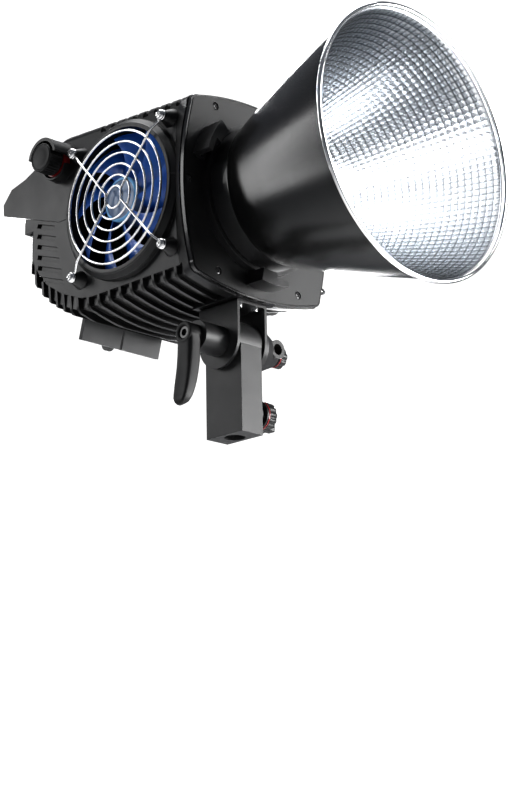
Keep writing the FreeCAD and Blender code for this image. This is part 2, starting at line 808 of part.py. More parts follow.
mount_axis = (0, 0, dim("axis_z"))
ring_front = dim("ring_front_y")
groove_back = front_y - 0.5
groove_front = ring_front + 2.8
ring_blank = turned("ring_blank", "Y", mount_axis, [
    (ring_front, dim("throat")), (ring_front, dim("ring_radius")), (front_y, dim("ring_radius")),
    (front_y, 51.6), (front_y + 7, 51.6), (front_y + 7, 43), (groove_back, 43),
    (groove_back, dim("groove_radius")), (groove_front, dim("groove_radius")), (groove_front, dim("throat")),
])
node("mount_ring", cut("ring_cut", ring_blank, [
    sector(f"lug_notch_{index}", groove_front + 0.1, ring_front - 1, dim("throat") - 1,
           dim("groove_radius"), angle, 46)
    for index, angle in enumerate(thirds(146))
]))
claws = []
for index, angle in enumerate(thirds(SIZES["claw_first"])):
    block = sector(f"claw_block_{index}", front_y, dim("claw_front_y"), dim("claw_inner"),
                   dim("claw_outer"), angle, dim("claw_angle").value)
    relief = sector(f"claw_relief_{index}", front_y - 3, dim("claw_front_y") - 1, dim("claw_inner") - 1,
                    dim("claw_inner") + 5.6, angle + 7.5, dim("claw_angle").value - 12)
    claws.append(cut(f"claw_{index}", block, [relief]))
node("mount_claws", group("claw_set", claws))

latch_x, latch_z = polar(66, 331)
node("latch_button", join("latch", [
    rod("latch_cap", "Y", (latch_x, front_y - 7.6, latch_z), 4.2, 4.2),
    rod("latch_stem", "Y", (latch_x, front_y - 3.5, latch_z), 2.0, 10),
]))

# ---------------------------------------------------------------- reflector
collar_front = dim("flange_y")
spigot_back = groove_back - 0.4
spigot = dim("throat") - 0.4
collar_blank = turned("reflector_collar_blank", "Y", mount_axis, [
    (collar_front, 42.5), (collar_front, dim("collar_radius")), (ring_front - 0.3, dim("collar_radius")),
    (ring_front - 0.3, spigot), (spigot_back, spigot), (spigot_back, 42.5),
])
node("reflector_collar", join("reflector_collar_whole", [collar_blank, *[
    sector(f"bayonet_lug_{index}", spigot_back, groove_front + 0.3, spigot - 1,
           dim("groove_radius") - 0.4, angle, 40)
    for index, angle in enumerate(thirds(96))
]]))
mouth_y = dim("reflector_mouth_y")
mouth = dim("reflector_mouth")
skin = dim("reflector_wall")
knee = (-80.0, 68.3)
node("reflector_shell", turned("reflector_skin", "Y", mount_axis, [
    (mouth_y, mouth - skin), (mouth_y, mouth, 0.6), (knee[0], knee[1], 0.5),
    (collar_front - 1.2, dim("flange_radius")), (collar_front, dim("flange_radius")),
    (collar_front, 42.5), (collar_front - 1.4, 42.5),
    (collar_front - 1.4, dim("flange_radius") - skin, -0.5),
    (knee[0], knee[1] - skin, -0.6),
]))
rim_y = mouth_y - dim("rim_radius")
node("reflector_rim", hoop("rim_bead", "Y", (0, rim_y, dim("axis_z")),
                           mouth + dim("rim_radius") * 0.9, dim("rim_radius")))

# ---------------------------------------------------------------- light engine and cooling inside
engine_y = front_y + 9
node("protective_glass", rod("glass", "Y", (0, front_y + 0.6, dim("axis_z")), 42.8, 2))
node("led_holder", cut("led_holder_cut", rod("led_holder_disc", "Y", (0, engine_y, dim("axis_z")), 40, 3), [
    rod("led_window", "Y", (0, engine_y - 1, dim("axis_z")), 16.2, 5),
]))
node("led_module", join("led_parts", [
    rod("led_phosphor", "Y", (0, engine_y + 0.6, dim("axis_z")), 14, 1.4),
    rod("led_base", "Y", (0, engine_y + 1.8, dim("axis_z")), 16, 1.2),
]))
spreader_y = engine_y + 3
sink_half, sink_height = 30, 45
node("heat_spreader", box("spreader", (-sink_half, spreader_y, dim("axis_z") - 38),
                          (sink_half, spreader_y + 12, dim("axis_z") + 38)))
fin_start = spreader_y + 16
fin_pitch, fin_thick, fin_count = 5.0, 0.9, 20
pipe_spots = [(x, up) for x in (-18, 0, 18) for up in (-28, 28)]


def pipe_rods(name, radius):
    return [
        rod(f"{name}_{number}", "Y", (x, spreader_y + 12, dim("axis_z") + up), radius,
            fin_pitch * fin_count + 8)
        for number, (x, up) in enumerate(pipe_spots)
    ]


sink_stop = fin_start + fin_pitch * (fin_count - 1) + fin_thick
sink_block = box("sink_block", (-sink_half, fin_start, dim("axis_z") - sink_height),
                 (sink_half, sink_stop, dim("axis_z") + sink_height))
sink_slots = [
    box(f"sink_slot_{index}", (-sink_half - 1, fin_start + fin_pitch * index + fin_thick, 100),
        (sink_half + 1, fin_start + fin_pitch * (index + 1), 270))
    for index in range(fin_count - 1)
]
drilled = cut("sink_drilled", sink_block, pipe_rods("pipe_hole", 3.05))
node("heat_sink_fins", cut("sink_fins", drilled, [group("sink_slot_set", sink_slots)]))
node("heat_pipes", group("pipe_set", pipe_rods("heat_pipe", 3.0)))

board_y = 124
board = [box("driver_base", (-50, board_y, 129), (50, board_y + 1.6, 190))]
for number, (x, z, size, tall) in enumerate([(-22, 140, 16, 16), (0, 146, 22, 20), (22, 142, 14, 24)]):
    board.append(box(f"driver_block_{number}", (x - size / 2, board_y - tall, z - size / 2),
                     (x + size / 2, board_y + 0.4, z + size / 2)))
for number, x in enumerate((-34, -14, 10, 34)):
    board.append(rod(f"driver_can_{number}", "-Y", (x, board_y + 0.4, 175), 6.5, 10))
node("driver_board", join("driver_parts", board))

# ---------------------------------------------------------------- fans, guards and their screws
guard_x = dim("guard_x")
wire = dim("guard_wire")
blade_chord, blade_pitch, blade_thick = 25.0, 36.0, 1.6
apex_in, apex_up = 8.9, 4.5


def wire_run(name, side, points, guard_radius):
    """Straight wires through points given as (x outwards, y, z) from the fan centre."""
    pieces = []
    centre = FreeCAD.Vector(0, SIZES["fan_y"], SIZES["fan_z"])
    spots = [centre + FreeCAD.Vector(x * side, y, z) for x, y, z in points]
    for number, (here, there) in enumerate(zip(spots, spots[1:])):
        run = doc.addObject("Part::Cylinder", f"{name}_{number}")
        bind(run, "Radius", guard_radius)
        run.Height = (there - here).Length
        turn = FreeCAD.Rotation(FreeCAD.Vector(0, 0, 1), there - here)
        run.Placement = FreeCAD.Placement(here, turn)
        pieces.append(run)
        if number:
            knot = doc.addObject("Part::Sphere", f"{name}_knot{number}")
            bind(knot, "Radius", guard_radius)
            knot.Placement = FreeCAD.Placement(here, FreeCAD.Rotation())
            pieces.append(knot)
    return pieces


def build_fan(word, side):
    """Frame, rotor, wire guard and guard screws on one flank."""
    face = dim("fan_outer_x")
    thick = dim("fan_thick")
    half = dim("fan_size") / 2
    near, far = (face - thick, face) if side > 0 else (-face, thick - face)
    blank = box(f"fan_{word}_blank", (near, dim("fan_y") - half, dim("fan_z") - half),
                (far, dim("fan_y") + half, dim("fan_z") + half))
    bore_start = (0, dim("fan_y"), dim("fan_z"))
    holes = [rod(f"fan_{word}_bore", outward(side), bore_start, dim("fan_bore"), 80)]
    holes += [
        rod(f"fan_{word}_screw_hole{number}", outward(side), (0, y, z), 1.9, 80)
        for number, (y, z) in enumerate(screw_spots())
    ]
    frame = [cut(f"fan_{word}_ring", blank, holes)]
    back = face - thick
    frame.append(rod(f"fan_{word}_motor", outward(side), fan_centre(side, back), dim("hub_radius"), 3))
    for number in range(4):
        strut = box(f"fan_{word}_strut{number}", (0, 0, 0), (2.4, 42, 3))
        angle = 20 + 90 * number
        turn = FreeCAD.Rotation(FreeCAD.Vector(1, 0, 0), angle)
        reach = FreeCAD.Vector(0, math.cos(math.radians(angle)), math.sin(math.radians(angle))) * 17
        near_x = back if side > 0 else -back - 2.4
        put(strut, (near_x, dim("fan_y") + reach.y, dim("fan_z") + reach.z), turn)
        frame.append(strut)
    node(f"fan_frame_{word}", join(f"fan_{word}_frame", frame))

    hub_start = back + 3.6
    hub = rod(f"fan_{word}_hub", outward(side), fan_centre(side, hub_start), dim("hub_radius"),
              dim("rotor_face_x") - hub_start)
    rotor = [hub]
    middle = FreeCAD.Vector((SIZES["rotor_face_x"] - 11.2) * side, SIZES["fan_y"], SIZES["fan_z"])
    for number in range(int(SIZES["blade_count"])):
        blade = doc.addObject("Part::Box", f"fan_{word}_blade{number}")
        blade.Length = blade_chord
        blade.Width = blade_thick
        bind(blade, "Height", dim("blade_radius") - 17)
        spin = FreeCAD.Rotation(FreeCAD.Vector(1, 0, 0), 360 * number / SIZES["blade_count"])
        pitch = FreeCAD.Rotation(FreeCAD.Vector(0, 0, 1), blade_pitch * side)
        start = FreeCAD.Vector(-blade_chord / 2, -blade_thick / 2, 17)
        blade.Placement = (FreeCAD.Placement(middle, spin)
                           * FreeCAD.Placement(FreeCAD.Vector(), pitch)
                           * FreeCAD.Placement(start, FreeCAD.Rotation()))
        rotor.append(blade)
    node(f"fan_rotor_{word}", join(f"fan_{word}_rotor", rotor))

    name = f"guard_{word}"
    centre = (guard_x * side, dim("fan_y"), dim("fan_z"))
    pieces = [
        hoop(f"{name}_ring{number}", "X", centre, dim("guard_pitch") * (number + 1), wire)
        for number in range(int(SIZES["guard_rings"]))
    ]
    reach = SIZES["screw_offset"]
    over = SIZES["guard_x"] + 1.2
    eyelet_x = SIZES["lug_end_x"] + SIZES["guard_wire"]
    eye = 3.3
    for across in (-1, 1):
        for up in (-1, 1):
            corner = reach - eye * 0.707
            kink = reach - 9.5
            level = reach - 4.2
            path = [
                (eyelet_x, corner * across, corner * up), (eyelet_x, level * across, level * up),
                (over, kink * across, kink * up),
                (over, apex_in * across, apex_up * up),
            ]
            pieces += wire_run(f"{name}_arm{across}{up}".replace("-", "m"), side, path, wire)
            spot = (eyelet_x * side, dim("fan_y") + reach * across, dim("fan_z") + reach * up)
            pieces.append(hoop(f"{name}_eye{across}{up}".replace("-", "m"), "X", spot, eye, wire))
        bend = [(over, apex_in * across, -apex_up - 0.6), (over, apex_in * across, apex_up + 0.6)]
        pieces += wire_run(f"{name}_bend{across}".replace("-", "m"), side, bend, wire)
    node(f"fan_guard_{word}", join(name, pieces))

    screws = []
    seat = dim("lug_end_x") + wire * 2
    for number, (y, z) in enumerate(screw_spots()):
        screws.append(join(f"{name}_screw{number}", [
            rod(f"{name}_shank{number}", outward(side), (60 * side, y, z), 1.6, seat + 0.4 - 60),
            cone(f"{name}_head{number}", outward(side), (seat * side, y, z), 4.3, 3.4, 2.8),
        ]))
    node(f"guard_screws_{word}", group(f"{name}_screws", screws))


for word, side in SIDES.items():
    build_fan(word, side)


# ---------------------------------------------------------------- console dials, panel and buttons
def flute(name, centre, reach, angle_deg, radius, length):
    """Round groove along X at an angle round a knob's rim; a negative length runs towards -X."""
    x, y, z = centre
    angle = math.radians(angle_deg)
    spot = (x, y + reach * math.cos(angle), z + reach * math.sin(angle))
    return rod(f"{name}_flute{angle_deg}", outward(length), spot, radius, abs(length))


def build_dial(word, side):
    """Knurled dial with its shaft, and the coloured ring at its foot."""
    y, z = dim("dial_y"), dim("dial_z")
    name = f"dial_{word}"
    grip = rod(f"{name}_grip", outward(side), (72.6 * side, y, z), 12, 14)
    cap = cone(f"{name}_cap", outward(side), (86.5 * side, y, z), 12, 10.6, 1.8)
    flutes = [
        flute(name, (74 * side, y, z), 12.4, 18 * number, 0.9, 11 * side) for number in range(20)
    ]
    knob = cut(f"{name}_knob", grip, [group(f"{name}_flutes", flutes)])
    node(name, join(f"{name}_whole", [
        knob, cap, rod(f"{name}_shaft", outward(side), (52 * side, y, z), 3.0, 21),
    ]))
    ring = rod(f"{name}_ring_disc", outward(side), (66.6 * side, y, z), 12.4, 5.4)
    bore = rod(f"{name}_ring_bore", outward(side), (60 * side, y, z), 3.1, 20)
    node(f"{name}_ring", cut(f"{name}_ring_cut", ring, [bore]))


for word, side in SIDES.items():
    build_dial(word, side)

panel = panel_slab("panel_blank", panel_half, panel_start, panel_stop, -panel_deep, 0)
screen = (-42, 4, panel_start + 6, panel_stop - 6)


def screen_slab(name, grow, low, high):
    x0, x1, y0, y1 = screen
    thing = box(name, (x0 - grow, y0 - grow, low), (x1 + grow, y1 + grow, high))
    return place_on_slope(thing, x0 - grow, y0 - grow, low, slope_turn)


node("control_panel", cut("panel_cut", panel, [
    screen_slab("screen_recess", 0.1, -1.3, 3),
    *[slope_rod(f"{name}_opening", x, button_along, -5, button_radius + 0.3, 10)
      for name, x in button_spots.items()],
]))
node("display_window", screen_slab("screen_glass", 0, -1.2, -0.1))
for name, x in button_spots.items():
    node(name, join(f"{name}_whole", [
        slope_rod(f"{name}_cap", x, button_along, -3.0, button_radius, 4.5),
        slope_rod(f"{name}_flange", x, button_along, -3.8, button_radius + 1.2, 1.2),
        slope_rod(f"{name}_stem", x, button_along, -11.6, 1.5, 8),
    ]))
node("control_board", panel_slab("control_board_slab", 40, panel_start + 4, panel_stop - 8, -14.5, -13))

# ---------------------------------------------------------------- rear panel, inlet and switch
rear = dim("rear_y")
rear_blank = box("rear_panel_blank", (-rear_panel_half, rear - dim("wall"), rear_panel_low),
                 (rear_panel_half, rear + 0.4, rear_panel_high - 0.6))
inlet_x, switch_x, panel_mid = 18, -24, 191
rear_tools = [
    box("inlet_opening", (inlet_x - 14.1, rear - 6, panel_mid - 10.1),
        (inlet_x + 14.1, rear + 6, panel_mid + 10.1)),
    box("switch_opening", (switch_x - 6.9, rear - 6, panel_mid - 10.4),
        (switch_x + 6.9, rear + 6, panel_mid + 10.4)),
]
rear_screws = [(x, z) for x in (-43, 43) for z in (181.5, 200)]
for number, (x, z) in enumerate(rear_screws):
    rear_tools.append(rod(f"rear_screw_hole{number}", "Y", (x, rear - 6, z), 1.6, 12))
node("rear_panel", cut("rear_panel_cut", rear_blank, rear_tools))
node("rear_screws", group("rear_screw_set", [
    join(f"rear_screw{number}", [
        rod(f"rear_screw_head{number}", "Y", (x, rear + 0.4, z), 2.9, 1.6),
        rod(f"rear_screw_shank{number}", "Y", (x, rear - 5, z), 1.5, 6),
    ]) for number, (x, z) in enumerate(rear_screws)
]))
inlet_body = box("inlet_body", (inlet_x - 14, rear - 20, panel_mid - 10),
                 (inlet_x + 14, rear + 2, panel_mid + 10))
inlet_well = box("inlet_well", (inlet_x - 12, rear - 15, panel_mid - 8),
                 (inlet_x + 12, rear + 3, panel_mid + 8))
inlet_pins = [
    box(f"inlet_pin{number}", (inlet_x + x - 1, rear - 16, panel_mid + up - 2),
        (inlet_x + x + 1, rear - 3, panel_mid + up + 2))
    for number, (x, up) in enumerate([(-7, -1.5), (0, 2), (7, -1.5)])
]
node("power_inlet", join("inlet_whole", [cut("inlet_cut", inlet_body, [inlet_well]), *inlet_pins]))
rocker = box("rocker_block", (0, 0, 0), (12.6, 9, 18.4))
rocker_tilt = FreeCAD.Rotation(FreeCAD.Vector(1, 0, 0), -8)
rocker_offset = rocker_tilt.multVec(FreeCAD.Vector(0, -3.0, -9.2))
put(rocker, (switch_x - 6.3, rear - 3 + rocker_offset.y, panel_mid + rocker_offset.z), rocker_tilt)
rocker_pivot = rod("rocker_pivot", "X", (switch_x - 6.7, rear - 3, panel_mid), 1.5, 13.4)
node("power_switch", join("rocker_whole", [rocker, rocker_pivot]))

# ---------------------------------------------------------------- rest feet and safety eye
for word in SIDES:
    node(f"rest_foot_{word}", foot_block(f"foot_{word}", word, 0))
eye_round = rod("eye_round", "X", (-2.0, 145, 109), 7, 4)
eye_hole = rod("eye_hole", "X", (-3.0, 145, 109.4), 3.4, 6)
node("safety_eye", cut("eye_cut", join("eye_solid", [eye_stem("eye_stem", 0), eye_round]), [eye_hole]))

# ---------------------------------------------------------------- yoke bracket and stand block
pivot = dim("pivot_z")
yoke_wide = dim("yoke_half_width")
yoke_in = yoke_wide - dim("yoke_plate")
bolt = dim("bolt_radius")
bolt_hole = bolt + dim("running_gap")
yoke_u = slab("yoke_front_view", yoke_deep + 2, -yoke_deep - 2, [
    (yoke_wide, 40), (yoke_wide, yoke_top - 2.5, 0.73), (yoke_wide - 2.5, yoke_top),
    (2.5 - yoke_wide, yoke_top, 0.73), (-yoke_wide, yoke_top - 2.5), (-yoke_wide, 40),
    (-yoke_in, 40), (-yoke_in, yoke_top - dim("yoke_plate")), (yoke_in, yoke_top - dim("yoke_plate")),
    (yoke_in, 40),
])
yoke_side = join("yoke_side_view", [
    rod("yoke_round_end", "X", (-20, 0, pivot), yoke_deep, 40),
    box("yoke_square_end", (-20, -yoke_deep, pivot), (20, yoke_deep, yoke_top + 2)),
])
node("yoke_bracket", cut("yoke_cut", overlap("yoke_blank", [yoke_u, yoke_side]), [
    rod("yoke_bolt_hole", "X", (-20, 0, pivot), bolt_hole, 40),
    *[rod(f"yoke_screw_hole{number}", "Z", (x, y, yoke_top - 6), 2.1, 10)
      for number, (x, y) in enumerate(yoke_spots)],
]))
node("yoke_screws", group("yoke_screw_set", [
    join(f"yoke_screw{number}", [
        rod(f"yoke_screw_head{number}", "Z", (x, y, yoke_top - dim("yoke_plate") - 2.6), 3.8, 2.6),
        rod(f"yoke_screw_shank{number}", "Z", (x, y, yoke_top - 3), 2.0, 9),
    ]) for number, (x, y) in enumerate(yoke_spots)
]))

clamp_z = dim("clamp_z")
block_x = dim("block_half_width")
block_y = dim("block_half_depth")
knuckle_x = dim("knuckle_half_width")
clamp_hole = dim("clamp_radius") + dim("running_gap")
node("stand_block", cut("block_cut", join("block_solid", [
    box("block_body", (-block_x, -block_y, 0), (block_x, block_y, pivot - 4)),
    rod("block_knuckle", "X", (-knuckle_x, 0, pivot), block_y, knuckle_x * 2),
    rod("clamp_boss", "X", (block_x - 1, 0, clamp_z), 9.5, dim("clamp_boss_x") - block_x + 1),
]), [
    rod("stand_socket", "Z", (0, 0, -1), dim("socket_radius"), dim("socket_depth") + 1),
    rod("knuckle_hole", "X", (-20, 0, pivot), bolt_hole, 40),
    rod("clamp_hole", "X", (4, 0, clamp_z), clamp_hole, 30),
]))
washers = []
for word, start in (("left", -1 * (knuckle_x + dim("washer_thick"))), ("right", knuckle_x)):
    disc = rod(f"washer_{word}_disc", "X", (start, 0, pivot), 18, dim("washer_thick"))
    hole = rod(f"washer_{word}_hole", "X", (-20, 0, pivot), bolt_hole, 40)
    washers.append(cut(f"washer_{word}", disc, [hole]))
node("friction_washers", group("washer_set", washers))

# ---------------------------------------------------------------- tilt bolt, boss and lock lever
boss_end = dim("boss_end_x")
lever_end = dim("lever_end_x")
node("tilt_bolt", rod("tilt_bolt_rod", "X", (-46, 0, pivot), bolt, 72.5))
node("clutch_boss", cut("boss_cut", rod("boss_rod", "-X", (-yoke_wide, 0, pivot), dim("boss_radius"),
                                        boss_end - yoke_wide), [
    rod("boss_hole", "X", (-60, 0, pivot), bolt_hole, 60),
]))
lever_shape = overlap("lever_blade", [
    slab("lever_front_view", 9, -9, [
        (-41.0, 76), (-52.6, 76), (-53.6, 60, -0.6), (-57.4, 32, -0.2), (-59.6, 20, 1.8),
        (-56.2, 15.2, 0.3), (-51.0, 17.6, 0.6), (-45.6, 31, -0.4), (-41.2, 52),
    ]),
    prism("lever_side_view", "YZ_Plane", -70, 40, [
        (-8.0, 76), (-7.8, 40), (-6.4, 22, 5.2), (6.4, 22), (7.8, 40), (8.0, 76),
    ]),
])
node("lock_lever", cut("lever_cut", join("lever_solid", [
    rod("lever_hub", "-X", (-boss_end - 0.3, 0, pivot), dim("lever_head"), lever_end - boss_end - 0.3),
    lever_shape,
]), [
    rod("lever_bolt_hole", "X", (-46.2, 0, pivot), bolt_hole, 30),
    rod("lever_screw_seat", "-X", (-46.6, 0, pivot), 5.0, 12),
]))
node("lever_screw", cut("lever_screw_cut", rod("lever_screw_head", "-X", (-46.8, 0, pivot), 4.7, 5.4), [
    prism("hex_socket", "YZ_Plane", -60, 10.6, [
        (2.9 * math.cos(math.radians(60 * k)), 2.9 * math.sin(math.radians(60 * k))) for k in range(6)
    ], (0, 0, pivot)),
]))

# ---------------------------------------------------------------- umbrella holder
holder_end = dim("holder_end_x")
umbrella_x = dim("umbrella_x")
screw_small = 2.9
node("umbrella_holder", cut("holder_cut", join("holder_solid", [
    rod("holder_foot", "X", (yoke_wide, 0, pivot), 19.4, 3.6),
    cone("holder_taper", "X", (yoke_wide + 3.6, 0, pivot), 19.4, 9.6, holder_end - yoke_wide - 3.6),
    rod("holder_boss", "Y", (umbrella_x, -15, pivot + 0.8), 7.6, 30),
]), [
    rod("umbrella_hole", "Y", (umbrella_x, -30, pivot + 0.8), dim("umbrella_radius"), 60),
    rod("holder_bolt_hole", "X", (10, 0, pivot), bolt_hole, 17),
    rod("holder_screw_hole", "X", (umbrella_x, 0, pivot), screw_small + dim("running_gap"), 20),
]))


def knob_hole(name, start, z, radius, depth):
    return rod(name, "X", (start, 0, z), radius, depth)


umbrella_knob_x = holder_end + 3.2
node("umbrella_screw", rod("umbrella_screw_rod", "X", (umbrella_x + 4.7, 0, pivot), screw_small, 10))
node("umbrella_knob", cut("umbrella_knob_cut", join("umbrella_knob_solid", [
    rod("umbrella_knob_collar", "X", (umbrella_knob_x - 1.2, 0, pivot), 8.0, 1.3),
    rod("umbrella_knob_core", "X", (umbrella_knob_x, 0, pivot), 5.6, 6.6),
    rod("umbrella_knob_grip", "X", (umbrella_knob_x + 0.9, 0, pivot), 8.8, 5.7),
    cone("umbrella_knob_end", "X", (umbrella_knob_x + 6.6, 0, pivot), 8.8, 7.4, 1.6),
]), [
    knob_hole("umbrella_knob_bore", umbrella_knob_x - 2, pivot, screw_small + 0.05, 7),
    *[flute("umbrella_knob", (umbrella_knob_x + 1.6, 0, pivot), 9.6, 45 * k, 1.7, 12) for k in range(8)],
]))
umbrella_ring = rod("umbrella_ring_disc", "X", (umbrella_knob_x + 0.1, 0, pivot), 8.5, 0.8)
node("umbrella_knob_ring", cut("umbrella_ring_cut", umbrella_ring, [
    knob_hole("umbrella_ring_bore", umbrella_knob_x - 3, pivot, 5.65, 6),
]))

# ---------------------------------------------------------------- stand clamp screw and knob
knob_x = dim("clamp_boss_x") + 4
knob_radius = dim("knob_radius")
clamp_start = dim("socket_radius") + 0.2
node("clamp_screw", rod("clamp_screw_rod", "X", (clamp_start, 0, clamp_z), dim("clamp_radius"),
                        knob_x + 6 - clamp_start))
node("clamp_knob", cut("clamp_knob_cut", join("clamp_knob_solid", [
    rod("clamp_knob_collar", "X", (knob_x - 1.4, 0, clamp_z), knob_radius - 0.7, 2),
    rod("clamp_knob_core", "X", (knob_x, 0, clamp_z), knob_radius - 4, 9),
    rod("clamp_knob_disc", "X", (knob_x + 1.5, 0, clamp_z), knob_radius, 7.5),
    cone("clamp_knob_dome", "X", (knob_x + 9, 0, clamp_z), knob_radius, knob_radius - 3, 2.4),
    box("clamp_knob_bar", (knob_x + 2, 1 - knob_radius, clamp_z - 3.8),
        (knob_x + 15, knob_radius - 1, clamp_z + 3.8)),
]), [
    knob_hole("clamp_knob_bore", knob_x - 2, clamp_z, clamp_hole, 8.2),
]))
clamp_ring = rod("clamp_ring_disc", "X", (knob_x + 0.6, 0, clamp_z), knob_radius - 0.3, 0.9)
node("clamp_knob_ring", cut("clamp_ring_cut", clamp_ring, [
    knob_hole("clamp_ring_bore", knob_x - 3, clamp_z, knob_radius - 3.95, 6),
]))

# ---------------------------------------------------------------- checks and export
doc.recompute()
for thing in doc.Objects:
    if "Invalid" in thing.State or "Error" in thing.State:
        raise RuntimeError(f"{thing.Name} did not rebuild: {thing.getStatusString()}")
for part in NODES:
    if part.Shape.isNull() or not part.Shape.isValid() or not part.Shape.Solids:
        raise RuntimeError(f"{part.Label} has no valid solid")
for part in NODES:
    part.Shape.exportStep(f"parts/{part.Label}.step")
print(f"{len(NODES)} nodes written")
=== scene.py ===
import json
import math

import bmesh
import bpy
from mathutils import Matrix, Vector


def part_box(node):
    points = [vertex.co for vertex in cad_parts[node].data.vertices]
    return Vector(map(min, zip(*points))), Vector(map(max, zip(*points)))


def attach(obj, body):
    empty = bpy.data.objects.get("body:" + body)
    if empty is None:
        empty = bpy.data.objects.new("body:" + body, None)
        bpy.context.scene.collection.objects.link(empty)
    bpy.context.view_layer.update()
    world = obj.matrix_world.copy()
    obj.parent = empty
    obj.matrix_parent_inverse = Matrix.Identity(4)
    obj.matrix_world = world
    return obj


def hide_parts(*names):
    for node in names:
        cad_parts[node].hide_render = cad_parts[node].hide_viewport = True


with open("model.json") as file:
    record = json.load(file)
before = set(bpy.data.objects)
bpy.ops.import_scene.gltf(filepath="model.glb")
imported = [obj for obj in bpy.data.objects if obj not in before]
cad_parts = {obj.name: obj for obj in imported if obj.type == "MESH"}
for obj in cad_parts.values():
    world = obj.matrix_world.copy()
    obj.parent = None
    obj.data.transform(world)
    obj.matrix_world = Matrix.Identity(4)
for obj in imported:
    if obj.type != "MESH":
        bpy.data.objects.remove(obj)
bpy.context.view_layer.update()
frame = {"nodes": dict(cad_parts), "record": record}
NODES = frame["nodes"]
TAU = 2 * math.pi
MM = 0.001
AXIS_Z = 183.0
# The lining's span in front of the origin, and its pressed cells.
LINING = (55.6, 188.0)
ROUND_CELLS, LONG_CELLS, CELL_STEPS = 120, 24, 4


# ---------------------------------------------------------------- materials
class Shader:
    """A Principled material whose surface detail comes from object coordinates."""

    def __init__(self, name, colour, roughness, metallic=0.0, coat=0.0, ior=1.5):
        self.material = bpy.data.materials.new(name)
        self.material.use_nodes = True
        self.nodes = self.material.node_tree.nodes
        self.links = self.material.node_tree.links
        self.shader = self.nodes["Principled BSDF"]
        self.shader.inputs["Base Color"].default_value = (*colour, 1)
        self.shader.inputs["Roughness"].default_value = roughness
        self.shader.inputs["Metallic"].default_value = metallic
        self.shader.inputs["Coat Weight"].default_value = coat
        self.shader.inputs["IOR"].default_value = ior
        self.place = self.nodes.new("ShaderNodeTexCoord").outputs["Object"]
        self.bump = None

    def maths(self, operation, first, second):
        """Result of one math node on sockets or plain numbers."""
        node = self.nodes.new("ShaderNodeMath")
        node.operation = operation
        for socket, value in zip(node.inputs, (first, second)):
            if isinstance(value, (int, float)):
                socket.default_value = value
            else:
                self.links.new(value, socket)
        return node.outputs["Value"]

    def axes(self):
        """The object's own coordinates, as three sockets."""
        parts = self.nodes.new("ShaderNodeSeparateXYZ")
        self.links.new(self.place, parts.inputs["Vector"])
        return parts.outputs["X"], parts.outputs["Y"], parts.outputs["Z"]

    def noise(self, scale, detail=3.0, stretch=None):
        """Noise texture output, optionally stretched along the object's axes."""
        texture = self.nodes.new("ShaderNodeTexNoise")
        texture.inputs["Scale"].default_value = scale
        texture.inputs["Detail"].default_value = detail
        place = self.place
        if stretch:
            mapping = self.nodes.new("ShaderNodeMapping")
            mapping.inputs["Scale"].default_value = stretch
            self.links.new(place, mapping.inputs["Vector"])
            place = mapping.outputs["Vector"]
        self.links.new(place, texture.inputs["Vector"])
        return texture.outputs["Fac"]

    def ramp(self, factor, stops):
        """Colour ramp through (position, colour) stops."""
        ramp = self.nodes.new("ShaderNodeValToRGB")
        elements = ramp.color_ramp.elements
        while len(elements) < len(stops):
            elements.new(0.5)
        for element, (position, colour) in zip(elements, stops):
            element.position = position
            element.color = (*colour, 1)
        self.links.new(factor, ramp.inputs["Fac"])
        return ramp.outputs["Color"]

    def tint(self, factor, stops):
        self.links.new(self.ramp(factor, stops), self.shader.inputs["Base Color"])

    def vary_roughness(self, factor, low, high):
        span = self.nodes.new("ShaderNodeMapRange")
        span.inputs["To Min"].default_value = low
        span.inputs["To Max"].default_value = high
        self.links.new(factor, span.inputs["Value"])
        self.links.new(span.outputs["Result"], self.shader.inputs["Roughness"])

    def emboss(self, factor, depth):
        """Adds one layer of bump, in metres, on top of the layers before it."""
        bump = self.nodes.new("ShaderNodeBump")
        bump.inputs["Strength"].default_value = 1.0
        bump.inputs["Distance"].default_value = depth
        self.links.new(factor, bump.inputs["Height"])
        if self.bump:
            self.links.new(self.bump, bump.inputs["Normal"])
        self.bump = bump.outputs["Normal"]
        self.links.new(self.bump, self.shader.inputs["Normal"])

    def soften(self, radius):
        """Rounds the solid's edges by the given radius, in the shading."""
        bevel = self.nodes.new("ShaderNodeBevel")
        bevel.samples = 4
        bevel.inputs["Radius"].default_value = radius
        self.bump = bevel.outputs["Normal"]
        self.links.new(self.bump, self.shader.inputs["Normal"])


def moulded(name, dark, light, roughness, grain=2600, depth=0.00004):
    """Fine-textured moulded plastic or powder coat."""
    shader = Shader(name, dark, roughness, ior=1.42)
    shader.soften(0.0005)
    shader.tint(shader.noise(35, 4), [(0.35, dark), (0.7, light)])
    shader.emboss(shader.noise(grain, 2), depth)
    shader.vary_roughness(shader.noise(60, 5), roughness - 0.05, roughness + 0.07)
    return shader.material


def metal(name, dark, light, low, high, scratch=0.00001):
    """Bare or plated metal with fine scratches."""
    shader = Shader(name, light, low, metallic=1.0)
    shader.soften(0.0002)
    shader.tint(shader.noise(90, 5), [(0.3, dark), (0.65, light)])
    shader.vary_roughness(shader.noise(250, 4), low, high)
    shader.emboss(shader.noise(1800, 3), scratch)
    return shader.material


def brushed_black(name, dark, light, roughness):
    """Satin black skin with faint turning marks round the reflector's axis."""
    shader = Shader(name, dark, roughness, ior=1.6)
    shader.tint(shader.noise(30, 3), [(0.35, dark), (0.7, light)])
    lines = shader.noise(1.0, 4, (12, 900, 12))
    shader.emboss(lines, 0.00002)
    shader.vary_roughness(lines, roughness - 0.05, roughness + 0.08)
    return shader.material


